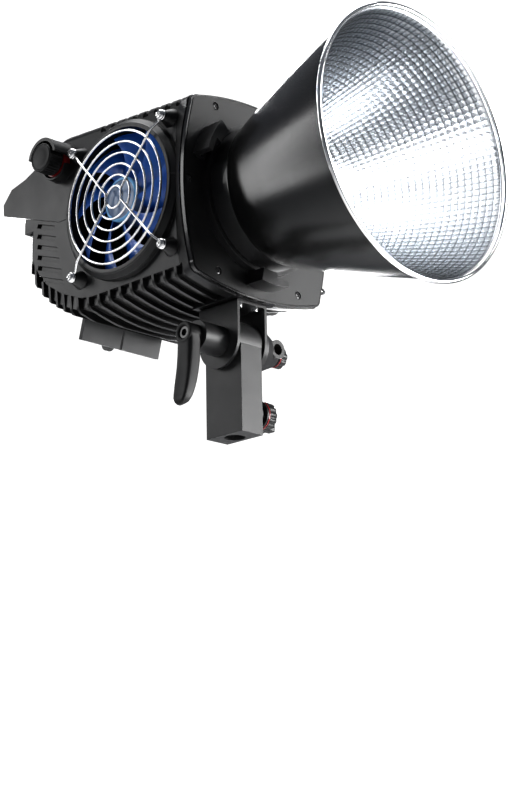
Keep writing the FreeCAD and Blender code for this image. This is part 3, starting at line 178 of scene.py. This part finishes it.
def celled_mirror(name, low, high):
    """Polished lining, with painted shade darkening the creases between its pressed cells."""
    shader = Shader(name, (0.88, 0.905, 0.93), low, metallic=1.0)
    x, y, z = shader.axes()
    turn = shader.maths("ARCTAN2", shader.maths("SUBTRACT", z, AXIS_Z * MM), x)
    around = shader.maths("MULTIPLY", turn, ROUND_CELLS / TAU)
    first, last = LINING
    depth = shader.maths("ADD", y, first * MM)
    along = shader.maths("MULTIPLY", depth, LONG_CELLS / ((last - first) * MM))
    off_crease = (shader.maths("PINGPONG", cells, 0.5) for cells in (around, along))
    painted_crease_shade = shader.maths("MINIMUM", *off_crease)
    # Painted shade: the base colour falls to dark grey along the creases between the cells.
    shader.tint(painted_crease_shade, [(0.02, (0.26, 0.275, 0.295)), (0.12, (0.91, 0.93, 0.95))])
    shader.vary_roughness(shader.noise(250, 4), low, high)
    return shader.material


def glossy(name, dark, light, roughness):
    """Smooth plastic with faint handling haze."""
    shader = Shader(name, dark, roughness, coat=0.25)
    shader.soften(0.0004)
    shader.tint(shader.noise(50, 3), [(0.3, dark), (0.75, light)])
    shader.vary_roughness(shader.noise(45, 6), roughness, roughness + 0.1)
    shader.emboss(shader.noise(500, 2), 0.000008)
    return shader.material


def clear(name, colour, roughness):
    """Clear glass with a faint haze."""
    shader = Shader(name, colour, roughness)
    shader.shader.inputs["Transmission Weight"].default_value = 1.0
    shader.vary_roughness(shader.noise(70, 5), roughness, roughness + 0.06)
    return shader.material


def tinted_clear(name, dark, light, roughness):
    """Glossy plastic that lets some light through."""
    shader = Shader(name, dark, roughness, coat=0.6)
    shader.tint(shader.noise(40, 3), [(0.3, dark), (0.75, light)])
    shader.shader.inputs["Transmission Weight"].default_value = 0.25
    shader.vary_roughness(shader.noise(60, 5), roughness, roughness + 0.08)
    return shader.material


LOOKS = {
    "black_plastic": moulded("shell_black", (0.008, 0.008, 0.0083), (0.012, 0.012, 0.0123), 0.36),
    "black_satin": moulded("powder_black", (0.019, 0.019, 0.0195), (0.026, 0.026, 0.0265), 0.42,
                           grain=1700, depth=0.00007),
    "gloss_black": glossy("trim_black", (0.006, 0.006, 0.0065), (0.009, 0.009, 0.0095), 0.20),
    "black_anodised": glossy("anodised_black", (0.007, 0.007, 0.0075), (0.011, 0.011, 0.0115), 0.30),
    "bright_reflector": celled_mirror("mirror_aluminium", 0.17, 0.23),
    "skirt_black": brushed_black("skirt_black", (0.003, 0.003, 0.0031), (0.0045, 0.0045, 0.0046), 0.22),
    "steel_wire": metal("bright_wire", (0.72, 0.72, 0.72), (0.86, 0.86, 0.86), 0.10, 0.2),
    "screw_steel": metal("bright_screw", (0.62, 0.62, 0.62), (0.82, 0.82, 0.82), 0.16, 0.3),
    "fan_blue": tinted_clear("fan_blue_plastic", (0.015, 0.12, 0.62), (0.05, 0.24, 0.85), 0.3),
    "hub_blue": glossy("hub_blue_plastic", (0.14, 0.22, 0.38), (0.2, 0.3, 0.48), 0.35),
    "hub_ring": glossy("hub_ring_foil", (0.16, 0.50, 0.95), (0.26, 0.64, 1.0), 0.25),
    "rim_metal": metal("polished_bead", (0.78, 0.78, 0.78), (0.9, 0.9, 0.9), 0.07, 0.14,
                       scratch=0.000004),
    "grip_black": moulded("grip_black", (0.004, 0.004, 0.0042), (0.006, 0.006, 0.0062), 0.5),
    "screw_black": glossy("black_oxide", (0.015, 0.015, 0.016), (0.03, 0.03, 0.031), 0.3),
    "red_ring": glossy("red_plastic", (0.22, 0.008, 0.011), (0.32, 0.014, 0.016), 0.3),
    "grey_rubber": moulded("grey_rubber_coat", (0.05, 0.05, 0.051), (0.065, 0.065, 0.066), 0.6),
    "sink_aluminium": metal("fin_aluminium", (0.55, 0.56, 0.57), (0.75, 0.76, 0.77), 0.3, 0.45),
    "copper_pipe": metal("copper_metal", (0.55, 0.25, 0.12), (0.8, 0.42, 0.24), 0.22, 0.4),
    "board_green": glossy("board_mask", (0.01, 0.08, 0.03), (0.02, 0.13, 0.05), 0.35),
    "phosphor": moulded("phosphor_yellow", (0.78, 0.55, 0.06), (0.9, 0.68, 0.12), 0.6),
    "clear_glass": clear("clear_cover", (0.92, 0.96, 0.96), 0.03),
    "screen_glass": glossy("dark_screen", (0.006, 0.008, 0.012), (0.01, 0.013, 0.02), 0.08),
    "washer_fibre": moulded("friction_lining", (0.06, 0.035, 0.02), (0.1, 0.06, 0.035), 0.75),
}
# The material slot that the record gives each node. Looks that the record has no slot
# for, and the slot each one stands near.
SLOTS = {entry["node"]: entry["material_slot"] for entry in frame["record"]["subparts"]}


def paint(piece, look):
    """Gives every face of a piece the look of one record slot."""
    piece.data.materials.clear()
    piece.data.materials.append(LOOKS[look])


for name, node in NODES.items():
    paint(node, SLOTS[name])


# ---------------------------------------------------------------- mesh helpers
FAN_Y, FAN_Z = 53.8, 191.3
SIDES = {"left": -1, "right": 1}


def aim(centre, direction):
    """Placement at a centre, in millimetres, whose local Z axis points along a direction."""
    turn = Vector(direction).to_track_quat("Z", "Y").to_matrix().to_4x4()
    return Matrix.Translation(Vector(centre)) @ turn


def polar(radius, angle):
    """Plane coordinates of a point at a radius and an angle."""
    return radius * math.cos(angle), radius * math.sin(angle)


class Shape:
    """Vertices and faces of one piece, in millimetres in the row frame."""

    def __init__(self):
        self.points = []
        self.faces = []
        self.looks = []

    def skin(self, rows, closed_rows=False, look=0):
        """Faces between rings of points that all have the same count.

        The look is a material index, or a function that gives one for each row.
        """
        first = len(self.points)
        width = len(rows[0])
        for row in rows:
            self.points.extend(row)
        last_row = len(rows) if closed_rows else len(rows) - 1
        for r in range(last_row):
            below, above = first + r * width, first + (r + 1) % len(rows) * width
            row_look = look(r) if callable(look) else look
            for c in range(width):
                after = (c + 1) % width
                self.faces.append((below + c, below + after, above + after, above + c))
                self.looks.append(row_look)
        return self

    def solid(self, rows):
        """Skin with one flat face over the first ring and one over the last."""
        first = len(self.points)
        width = len(rows[0])
        self.skin(rows)
        last = first + (len(rows) - 1) * width
        self.faces.append(tuple(range(first + width - 1, first - 1, -1)))
        self.faces.append(tuple(range(last, last + width)))
        self.looks += [0, 0]
        return self

    def lathe(self, profile, place, count, ripple=None, look=0):
        """Turns a closed profile of (radius, height) pairs about the placement's Z axis.

        A third number in a pair says how much of the ripple that ring gets.
        """
        rows = []
        for radius, height, *weight in profile:
            row = []
            for k in range(count):
                angle = TAU * k / count
                reach = radius
                if weight:
                    reach -= weight[0] * ripple(angle)
                x, y = polar(reach, angle)
                row.append(place @ Vector((x, y, height)))
            rows.append(row)
        return self.skin(rows, closed_rows=True, look=look)

    def tube(self, path, radius, closed=False):
        """Round tube along points, with capped ends when it is open."""
        count = 14
        path = [Vector(p) for p in path]
        last = len(path) - 1
        rows = []
        side = None
        for k, point in enumerate(path):
            before = path[k - 1] if k or closed else point
            after = path[(k + 1) % len(path)] if k < last or closed else point
            along = (after - before).normalized()
            if side is None:
                side = along.orthogonal().normalized()
            side = (side - along * side.dot(along)).normalized()
            other = along.cross(side)
            spokes = (polar(radius, TAU * c / count) for c in range(count))
            ring = [side * u + other * v for u, v in spokes]
            if k == 0 and not closed:
                rows += [[point] * count, [point + r * 0.7 for r in ring]]
            rows.append([point + r for r in ring])
            if k == last and not closed:
                rows += [[point + r * 0.7 for r in ring], [point] * count]
        return self.skin(rows, closed_rows=closed)

    def extrude(self, outline, place, low, high, bevel=0.0):
        """Flat outline given a thickness along the placement's Z axis, with bevelled rims."""
        shrunk = inset(outline, bevel) if bevel else outline
        levels = [(low, shrunk), (low + bevel, outline), (high - bevel, outline), (high, shrunk)]
        return self.solid([[place @ Vector((x, y, z)) for x, y in points] for z, points in levels])

    def mesh(self, name):
        """Blender mesh in metres, without repeated points, its faces looking outwards."""
        made = bpy.data.meshes.new(name)
        made.from_pydata([Vector(p) * MM for p in self.points], [], self.faces)
        for face, look in zip(made.polygons, self.looks):
            face.material_index = look
        work = bmesh.new()
        work.from_mesh(made)
        bmesh.ops.remove_doubles(work, verts=work.verts, dist=2e-6)
        bmesh.ops.dissolve_degenerate(work, edges=work.edges, dist=1e-7)
        bmesh.ops.recalc_face_normals(work, faces=work.faces)
        work.to_mesh(made)
        work.free()
        return made


def inset(outline, amount):
    """Outline drawn in by an amount, corner by corner."""
    count = len(outline)
    drawn = []
    for k, (x, y) in enumerate(outline):
        (ax, ay), (bx, by) = outline[k - 1], outline[(k + 1) % count]
        ahead = Vector((bx - x, by - y)).normalized()
        behind = Vector((x - ax, y - ay)).normalized()
        normal = Vector((-ahead.y - behind.y, ahead.x + behind.x))
        normal *= 1 / max(normal.length, 1e-6)
        drawn.append((x + normal.x * amount, y + normal.y * amount))
    return drawn


def rounded(path, radius, steps=5):
    """Path whose inner corners are replaced by short curves."""
    path = [Vector(p) for p in path]
    made = [path[0]]
    for here, before, after in zip(path[1:], path, path[2:]):
        reach = min(radius, (here - before).length * 0.45, (after - here).length * 0.45)
        start = here + (before - here).normalized() * reach
        stop = here + (after - here).normalized() * reach
        for k in range(steps + 1):
            t = k / steps
            made.append(start * (1 - t) ** 2 + here * (2 * t * (1 - t)) + stop * t ** 2)
    made.append(path[-1])
    return made


def carve(mesh, cutters, operation="DIFFERENCE"):
    """Cuts each shape out of a mesh, or joins it on, and returns the new mesh."""
    target = bpy.data.objects.new("carve_target", mesh)
    bpy.context.scene.collection.objects.link(target)
    for cutter in cutters:
        tool = bpy.data.objects.new("carve_tool", cutter.mesh("carve_tool"))
        bpy.context.scene.collection.objects.link(tool)
        modifier = target.modifiers.new("carve", "BOOLEAN")
        modifier.object = tool
        modifier.operation = operation
        modifier.solver = "EXACT"
        evaluated = target.evaluated_get(bpy.context.evaluated_depsgraph_get())
        result = bpy.data.meshes.new_from_object(evaluated)
        target.modifiers.clear()
        target.data = result
        bpy.data.objects.remove(tool)
    result = target.data
    bpy.data.objects.remove(target)
    return result


def show(name, mesh, body, looks, nodes=(), sharp=32):
    """Puts a mesh in the scene on a body, with its looks, in place of CAD nodes.

    Edges that bend by more than the sharp angle, in degrees, are shaded as edges.
    """
    mesh.name = name
    piece = bpy.data.objects.new(name, mesh)
    bpy.context.scene.collection.objects.link(piece)
    for look in looks:
        mesh.materials.append(LOOKS[look])
    mesh.shade_smooth()
    mesh.set_sharp_from_angle(angle=math.radians(sharp))
    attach(piece, body)
    if nodes:
        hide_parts(*nodes)


# ---------------------------------------------------------------- reflector
# Distances in front of the origin and outer radii where the skirt ends or changes slope.
MOUTH, KNEE, FOOT = (188.4, 101.6), (80.0, 68.3), (54.6, 58.4)
SKIRT_STEPS = 28
SKIN = 1.3
THROAT = 42.8
CELL_BULGE = 0.3
BEAD_RADIUS, BEAD_MIDDLE, BEAD_STEPS = 1.9, (103.31, 190.3), 20


def skirt(height):
    """Outer radius of the reflector's skirt at a distance in front of the origin."""
    (h0, r0), (h1, r1), bow = (KNEE, MOUTH, 0.6) if height > KNEE[0] else (FOOT, KNEE, 0.5)
    share = (height - h0) / (h1 - h0)
    return r0 + (r1 - r0) * share + 4 * bow * share * (1 - share)


def pillow(share):
    """Rise of a cell's surface from crease to crease."""
    return 1 - (2 * share - 1) ** 2


def build_reflector():
    """Bowl with a black skirt and a lining of pressed cells, and its rolled bead."""
    place = aim((0, 0, AXIS_Z), (0, -1, 0))
    columns = ROUND_CELLS * CELL_STEPS

    def spot(radius, column, height):
        return place @ Vector((*polar(radius, TAU * column / columns), height))

    outside = [(THROAT, 53.42), (57.6, 53.42), (58.35, 53.7), FOOT[::-1]]
    for k in range(1, SKIRT_STEPS + 1):
        height = FOOT[0] + (MOUTH[0] - FOOT[0]) * k / SKIRT_STEPS
        outside.append((skirt(height), height))
    rows = [[spot(radius, c, height) for c in range(columns)] for radius, height in outside]
    lining_start = len(rows) - 1
    first, last = LINING
    steps = LONG_CELLS * CELL_STEPS
    for r in range(steps, -1, -1):
        height = first + (last - first) * r / steps
        along = pillow(r % CELL_STEPS / CELL_STEPS)
        row = []
        for c in range(columns):
            bulge = CELL_BULGE * along * pillow(c % CELL_STEPS / CELL_STEPS)
            radius = skirt(max(height, FOOT[0])) - SKIN - bulge * (0.6 + 0.4 * r / steps)
            row.append(spot(radius, c, height))
        rows.append(row)
    lining_end = len(rows)
    rows.append([spot(THROAT, c, 54.8) for c in range(columns)])
    bowl = Shape().skin(rows, closed_rows=True, look=lambda r: int(lining_start <= r < lining_end))
    show("reflector_bowl", bowl.mesh("reflector_bowl"), "reflector",
         ["skirt_black", "bright_reflector"], ["reflector_shell"], sharp=15)

    profile = []
    for k in range(BEAD_STEPS):
        across, ahead = polar(BEAD_RADIUS, TAU * k / BEAD_STEPS)
        profile.append((BEAD_MIDDLE[0] + across, BEAD_MIDDLE[1] + ahead))
    bead = Shape().lathe(profile, place, 180)
    show("reflector_bead", bead.mesh("reflector_bead"), "reflector", ["rim_metal"], ["reflector_rim"])


build_reflector()


# ---------------------------------------------------------------- fans and guards
GUARD_X, ARM_X, WIRE = 74.6, 75.8, 1.0
GUARD_RINGS, GUARD_PITCH = 6, 8.92
EYELET = 3.3
ROTOR_X = 58.4
BLADES, BLADE_ROOT, BLADE_TIP = 9, 17.5, 56.0
SCREW_REACH = 52.5
LUG_END = 71.6


def fan_point(side, x, y, z):
    """Point given from a fan's centre, with x counted outwards on either side."""
    return Vector((x * side, FAN_Y + y, FAN_Z + z))


def build_rotor(word, side):
    """Nine swept blades round a hub with a pale ring."""
    blades = Shape()
    long_steps, wide_steps = 12, 10
    for number in range(BLADES):
        base = TAU * number / BLADES
        rows = []
        for r in range(long_steps + 1):
            share = r / long_steps
            radius = BLADE_ROOT + (BLADE_TIP - BLADE_ROOT) * share
            half = math.radians(16.5 + 1.5 * share)
            sweep = math.radians(26) * share ** 1.3
            depth = 8.6 - 2.4 * share
            front, back = [], []
            for c in range(wide_steps + 1):
                across = 2 * c / wide_steps - 1
                tip = 1 - 0.08 * max(0.0, share - 0.8) * 5 * abs(across)
                angle = base + (sweep + half * across * tip) * side
                x = ROTOR_X + depth * (across + 0.32 * (1 - across ** 2))
                thin = 0.75 * (1 - across ** 4) + 0.12
                y, z = polar(radius, angle)
                front.append(fan_point(side, x + thin, y, z))
                back.append(fan_point(side, x - thin, y, z))
            rows.append(front + back[::-1])
        blades.solid(rows)
    show(f"fan_blades_{word}", blades.mesh("blades"), f"fan_rotor_{word}", ["fan_blue"],
         [f"fan_rotor_{word}"], sharp=40)
    hub = Shape().lathe([
        (0, 37.0), (17.6, 37.0), (18.4, 37.6), (18.4, 67.2), (18.0, 68.0), (17.2, 68.5), (16.2, 68.5),
        (15.8, 68.0), (15.2, 67.8), (10.0, 68.3), (5.0, 68.6), (0, 68.7),
    ], aim(fan_point(side, 0, 0, 0), (side, 0, 0)), 72, look=lambda r: 1 if 3 <= r <= 6 else 0)
    show(f"fan_hub_{word}", hub.mesh("hub"), f"fan_rotor_{word}", ["hub_blue", "hub_ring"], sharp=40)


def build_guard(word, side):
    """Welded wire guard: rings, two bent wires and their open eyelets."""
    guard = Shape()
    for number in range(GUARD_RINGS):
        reach = GUARD_PITCH * (number + 1)
        ring = [fan_point(side, GUARD_X, *polar(reach, TAU * k / 96)) for k in range(96)]
        guard.tube(ring, WIRE, closed=True)
    eyelet_x = LUG_END + WIRE
    for across in (-1, 1):
        path = []
        for up in (-1, 1):
            middle = Vector((eyelet_x, SCREW_REACH * across, SCREW_REACH * up))
            inward = math.atan2(-up, -across)
            turn = across * up
            eye = [
                middle + Vector((0, *polar(EYELET, inward + turn * math.radians(a))))
                for a in range(330, 0, -22)
            ]
            corner = middle + Vector((0, *polar(EYELET, inward)))
            kink, level = SCREW_REACH - 9.5, SCREW_REACH - 4.2
            arm = [
                corner, Vector((eyelet_x, level * across, level * up)),
                Vector((ARM_X, kink * across, kink * up)), Vector((ARM_X, 8.9 * across, 4.5 * up)),
            ]
            half = eye + rounded([eye[-1], *arm], 2.2)[1:]
            path = half if not path else path + half[::-1]
        guard.tube([fan_point(side, *p) for p in without_repeats(path)], WIRE)
    show(f"wire_guard_{word}", guard.mesh("guard"), "head", ["steel_wire"],
         [f"fan_guard_{word}"], sharp=60)


def without_repeats(path):
    """Same path without repeated points."""
    kept = [path[0]]
    for point in path[1:]:
        if (point - kept[-1]).length > 0.05:
            kept.append(point)
    return kept


def cross_screw(place, radius, height):
    """Pan-head screw with a cross recess, sunk a little below its seat."""
    head = Shape().lathe([
        (0, -0.4), (radius * 0.6, -0.4), (radius * 0.94, 0.0), (radius, height * 0.14),
        (radius * 0.97, height * 0.45), (radius * 0.82, height * 0.78), (radius * 0.55, height * 0.96),
        (0, height),
    ], place, 40)
    cutters = []
    for quarter in (0, 1):
        turn = Matrix.Rotation(math.radians(45 + 90 * quarter), 4, "Z")
        long, wide = radius * 0.58, radius * 0.14
        outline = [(-long, -wide), (long, -wide), (long, wide), (-long, wide)]
        cutters.append(Shape().extrude(outline, place @ turn, height * 0.35, height + 2))
    return carve(head.mesh("screw"), cutters)


def screw_set(name, places, radius, height, body, look, nodes):
    """One piece made of equal screws, each at its own placement."""
    work = bmesh.new()
    for place in places:
        one = cross_screw(place, radius, height)
        work.from_mesh(one)
        bpy.data.meshes.remove(one)
    joined = bpy.data.meshes.new(name)
    work.to_mesh(joined)
    work.free()
    show(name, joined, body, [look], nodes, sharp=35)


for word, side in SIDES.items():
    build_rotor(word, side)
    build_guard(word, side)
    spots = [
        aim(fan_point(side, LUG_END + 2 * WIRE, SCREW_REACH * across, SCREW_REACH * up), (side, 0, 0))
        for across in (-1, 1) for up in (-1, 1)
    ]
    screw_set(f"guard_screw_heads_{word}", spots, 4.25, 2.7, "head", "screw_steel",
              [f"guard_screws_{word}"])

# The undersides of the plate screws' heads, inside their counterbores.
PLATE_SEAT_Y = -27.6
plate_spots = [
    aim((x, PLATE_SEAT_Y, AXIS_Z + up), (0, -1, 0))
    for x, up in ((-44, 67.2), (44, 67.2), (-72.5, 0), (72.5, 0), (-43.5, -66.4), (43.5, -66.4))
]
screw_set("plate_screw_heads", plate_spots, 3.0, 1.1, "head", "screw_black", ["plate_screws"])


# ---------------------------------------------------------------- dials and knobs
DIAL_CENTRE = (129.5, 244.0)
PIVOT_Z = 73.0
CLAMP_Z = 21.5


def fluted(count, sharpness):
    """Ripple of a round grip: 0 on its ribs and 1 at the bottom of its grooves."""
    def ripple(angle):
        return (0.5 - 0.5 * math.cos(count * angle)) ** sharpness
    return ripple


def build_dial_knob(word, side):
    """Finely ribbed dial whose face is slightly domed inside its rim."""
    place = aim((0, *DIAL_CENTRE), (side, 0, 0))
    dial = Shape().lathe([
        (3.0, 53.0), (3.0, 72.7), (10.8, 72.7), (11.4, 73.2), (11.9, 74.2, 0.0), (12.0, 74.6, 0.5),
        (12.0, 84.6, 0.5), (11.9, 85.2, 0.0), (11.9, 86.4), (11.7, 87.0), (11.2, 87.4), (10.6, 87.5),
        (10.2, 87.2), (9.6, 87.1), (7.0, 87.7), (3.5, 88.1), (0, 88.2), (0, 53.0),
    ], place, 240, fluted(30, 1.6))
    show(f"dial_grip_{word}", dial.mesh("dial"), f"dial_{word}", ["grip_black"],
         [f"dial_{word}"], sharp=40)


for word, side in SIDES.items():
    build_dial_knob(word, side)


def build_umbrella_knob():
    """Eight-lobed knob on the umbrella clamp's screw."""
    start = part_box("umbrella_knob")[0].x / MM
    place = aim((start, 0, PIVOT_Z), (1, 0, 0))
    knob = Shape().lathe([
        (2.95, 0.0), (7.4, 0.0), (8.0, 0.4), (8.0, 1.25), (5.9, 1.4), (5.9, 2.2), (8.2, 2.2),
        (8.7, 2.6, 0.3), (8.8, 3.1, 1.2), (8.8, 7.0, 1.2), (8.5, 8.2, 1.1), (7.8, 9.0, 0.7),
        (7.0, 9.35, 0.2), (5.0, 9.1), (4.4, 8.8), (0, 8.7), (0, 6.4), (2.95, 6.3),
    ], place, 160, fluted(8, 1.8))
    show("umbrella_grip", knob.mesh("umbrella_grip"), "umbrella_knob", ["black_plastic"],
         ["umbrella_knob"])


build_umbrella_knob()


def rounded_rect(half_x, half_y, corner, steps=5):
    """Rounded rectangle about the origin, counterclockwise."""
    outline = []
    for quarter, (sx, sy) in enumerate([(1, 1), (-1, 1), (-1, -1), (1, -1)]):
        for k in range(steps + 1):
            x, y = polar(corner, TAU / 4 * (quarter + k / steps))
            outline.append((sx * (half_x - corner) + x, sy * (half_y - corner) + y))
    return outline


def build_clamp_knob():
    """Ribbed stand clamp knob with a grip bar across its face, slotted on both flanks."""
    place = aim((0, 0, CLAMP_Z), (1, 0, 0))
    body = Shape().lathe([
        (4.02, 24.62), (10.8, 24.62), (11.3, 25.0), (11.3, 26.4), (11.0, 26.58), (8.05, 26.58),
        (8.05, 27.52), (11.4, 27.52), (11.9, 27.9, 0.2), (12.0, 28.6, 1.0), (12.0, 34.2, 1.0),
        (11.5, 35.2, 0.9), (10.4, 36.1, 0.4), (9.0, 36.9), (7.6, 37.3), (0, 37.4), (0, 32.2),
        (4.02, 32.2),
    ], place, 168, fluted(14, 1.4))
    upright = place @ Matrix.Rotation(TAU / 4, 4, "Z")
    bar = Shape().extrude(rounded_rect(10.9, 3.8, 1.4), upright, 34.0, 41.0, 0.7)
    slots = []
    for flank in (-1, 1):
        slot_place = place @ Matrix.Translation((4.6 * flank, 0, 38.6))
        slots.append(Shape().extrude(rounded_rect(1.9, 7.6, 0.6, 3), slot_place, -1.5, 1.1))
    mesh = carve(body.mesh("clamp_grip"), [bar], "UNION")
    mesh = carve(mesh, slots)
    show("clamp_grip", mesh, "clamp_knob", ["black_plastic"], ["clamp_knob"], sharp=35)


build_clamp_knob()


def between(stops, value):
    """Straight-line value between (place, value) stops that rise in place."""
    for (a, va), (b, vb) in zip(stops, stops[1:]):
        if value <= b:
            share = (value - a) / (b - a)
            return va + (vb - va) * share
    return stops[-1][1]


def build_lever():
    """Round head with a recessed seat, and a blade that flares towards its foot.

    The blade's outer face, inner face and half width are given as (height, value) stops.
    """
    place = aim((0, 0, PIVOT_Z), (-1, 0, 0))
    head = Shape().lathe([
        (4.1, 40.52), (7.8, 40.52), (8.4, 41.0), (8.4, 52.7), (8.1, 53.2), (7.6, 53.4), (5.7, 53.4),
        (5.2, 53.1), (5.05, 52.6), (5.02, 46.7), (4.1, 46.7),
    ], place, 96)
    foot, top = 15.2, PIVOT_Z
    outer = [
        (foot, -56.4), (16.0, -57.7), (18.0, -58.9), (21.0, -59.4), (32.0, -57.4), (46.0, -55.0),
        (60.0, -53.5), (top, -52.9),
    ]
    inner = [
        (foot, -56.0), (16.0, -54.6), (18.0, -51.6), (24.0, -48.4), (32.0, -45.5), (42.0, -42.9),
        (52.0, -41.3), (top, -41.0),
    ]
    wide = [
        (foot, 1.2), (16.0, 3.0), (17.5, 4.7), (20.0, 6.2), (24.0, 7.2), (32.0, 7.8), (56.0, 7.9),
        (top, 8.2),
    ]
    levels = [
        foot, 15.5, 16.0, 16.8, 17.8, 19.2, 21.0, 23.0, 26.0, 30.0, 35.0, 40.0, 46.0, 52.0, 58.0,
        64.0, top,
    ]
    count = 40
    rows = []
    for z in levels:
        near, far, half = between(outer, z), between(inner, z), between(wide, z)
        middle, depth = (near + far) / 2, (far - near) / 2
        dish = 1.1 * max(0.0, min(1.0, (62 - z) / 20)) * min(1.0, (z - foot) / 8)
        row = []
        for k in range(count):
            cos, sin = polar(1.0, TAU * k / count)
            x = math.copysign(abs(cos) ** 0.42, cos) * depth
            y = math.copysign(abs(sin) ** 0.5, sin) * half
            if x < 0:
                x += dish * (1 - (y / half) ** 2) * min(1.0, -x / depth)
            row.append((middle + x, y, z))
        rows.append(row)
    blade = Shape().solid(rows)
    seat = Shape().lathe([(0, 46.7), (5.02, 46.7), (5.02, 62.0), (0, 62.0)], place, 96)
    bore = Shape().lathe([(0, 36.0), (4.1, 36.0), (4.1, 47.0), (0, 47.0)], place, 96)
    mesh = carve(blade.mesh("lever_blade"), [seat, bore])
    mesh = carve(mesh, [head], "UNION")
    show("lever_grip", mesh, "lock_lever", ["grip_black"], ["lock_lever"], sharp=38)


build_lever()


# ---------------------------------------------------------------- floor, light and camera
def soft_light(name, place, target, size, power):
    """Rectangular area light at a place, facing a target, both in metres."""
    data = bpy.data.lights.new(name, "AREA")
    data.shape = "RECTANGLE"
    data.size, data.size_y = size
    data.energy = power
    lamp = bpy.data.objects.new(name, data)
    lamp.location = place
    lamp.rotation_euler = (Vector(target) - Vector(place)).to_track_quat("-Z", "Y").to_euler()
    bpy.context.scene.collection.objects.link(lamp)


FLOOR_HALF, FLOOR_Z = 60.0, -1.25
floor_mesh = bpy.data.meshes.new("floor")
corners = [
    (FLOOR_HALF * x, FLOOR_HALF * y, FLOOR_Z) for x, y in ((-1, -1), (1, -1), (1, 1), (-1, 1))
]
floor_mesh.from_pydata(corners, [], [(0, 1, 2, 3)])
floor = bpy.data.objects.new("floor", floor_mesh)
bpy.context.scene.collection.objects.link(floor)
floor_look = Shader("pale_floor", (0.8, 0.8, 0.8), 0.7)
floor_look.tint(floor_look.noise(3, 2), [(0.3, (0.78, 0.78, 0.78)), (0.7, (0.82, 0.82, 0.82))])
floor_mesh.materials.append(floor_look.material)

middle = Vector((0, 0, 0.17))
soft_light("back_left", (-1.25, 1.45, 0.75), middle, (0.6, 0.9), 7)
soft_light("rim", (-0.62, 1.8, 0.45), middle, (0.16, 1.1), 3.4)
soft_light("front_right", (1.6, -1.45, 0.0), middle, (0.6, 0.8), 48)
soft_light("back_right", (1.3, 1.9, 0.9), middle, (1.3, 1.3), 95)
soft_light("ceiling", (0.2, 0.6, 3.2), (0.2, 0.6, 0), (3.0, 3.0), 110)
soft_light("bowl", (0.95, -1.85, 0.7), (0, -0.15, 0.18), (0.9, 0.9), 38)


def build_world():
    """White backdrop for the camera, and a darker studio for light and reflections."""
    world = bpy.data.worlds.new("studio")
    world.use_nodes = True
    nodes, links = world.node_tree.nodes, world.node_tree.links
    room = nodes["Background"]
    backdrop = nodes.new("ShaderNodeBackground")
    backdrop.inputs["Color"].default_value = (1, 1, 1, 1)
    backdrop.inputs["Strength"].default_value = 1.0
    room.inputs["Strength"].default_value = 1.0
    place = nodes.new("ShaderNodeTexCoord")
    split = nodes.new("ShaderNodeSeparateXYZ")
    links.new(place.outputs["Generated"], split.inputs["Vector"])
    ramp = nodes.new("ShaderNodeValToRGB")
    span = nodes.new("ShaderNodeMapRange")
    span.inputs["From Min"].default_value = -1.0
    links.new(split.outputs["Z"], span.inputs["Value"])
    links.new(span.outputs["Result"], ramp.inputs["Fac"])
    ramp.color_ramp.elements[0].color = (0.012, 0.012, 0.012, 1)
    ramp.color_ramp.elements[1].color = (0.15, 0.16, 0.18, 1)
    links.new(ramp.outputs["Color"], room.inputs["Color"])
    seen = nodes.new("ShaderNodeLightPath")
    mix = nodes.new("ShaderNodeMixShader")
    links.new(seen.outputs["Is Camera Ray"], mix.inputs["Fac"])
    links.new(room.outputs["Background"], mix.inputs[1])
    links.new(backdrop.outputs["Background"], mix.inputs[2])
    links.new(mix.outputs["Shader"], nodes["World Output"].inputs["Surface"])
    bpy.context.scene.world = world


build_world()
# Standard keeps colours as they are lit; the look adds the contrast of a product picture.
bpy.context.scene.view_settings.view_transform = "Standard"
bpy.context.scene.view_settings.look = "Medium High Contrast"

CAMERA_PLACE = Vector((-1.02958, -1.02946, -0.37595))
YAW, PITCH, ROLL = (math.radians(a) for a in (45.63, 15.56, -1.07))
ahead = Vector((math.sin(YAW) * math.cos(PITCH), math.cos(YAW) * math.cos(PITCH), math.sin(PITCH)))
right = ahead.cross(Vector((0, 0, 1))).normalized()
up = right.cross(ahead)
rolled_right = right * math.cos(ROLL) + up * math.sin(ROLL)
rolled_up = up * math.cos(ROLL) - right * math.sin(ROLL)
turn = Matrix((rolled_right, rolled_up, -ahead)).transposed().to_4x4()
camera_data = bpy.data.cameras.new("camera")
camera_data.sensor_width = 36
camera_data.lens = 88.98
camera = bpy.data.objects.new("camera", camera_data)
camera.matrix_world = Matrix.Translation(CAMERA_PLACE) @ turn
bpy.context.scene.collection.objects.link(camera)
bpy.context.scene.camera = camera
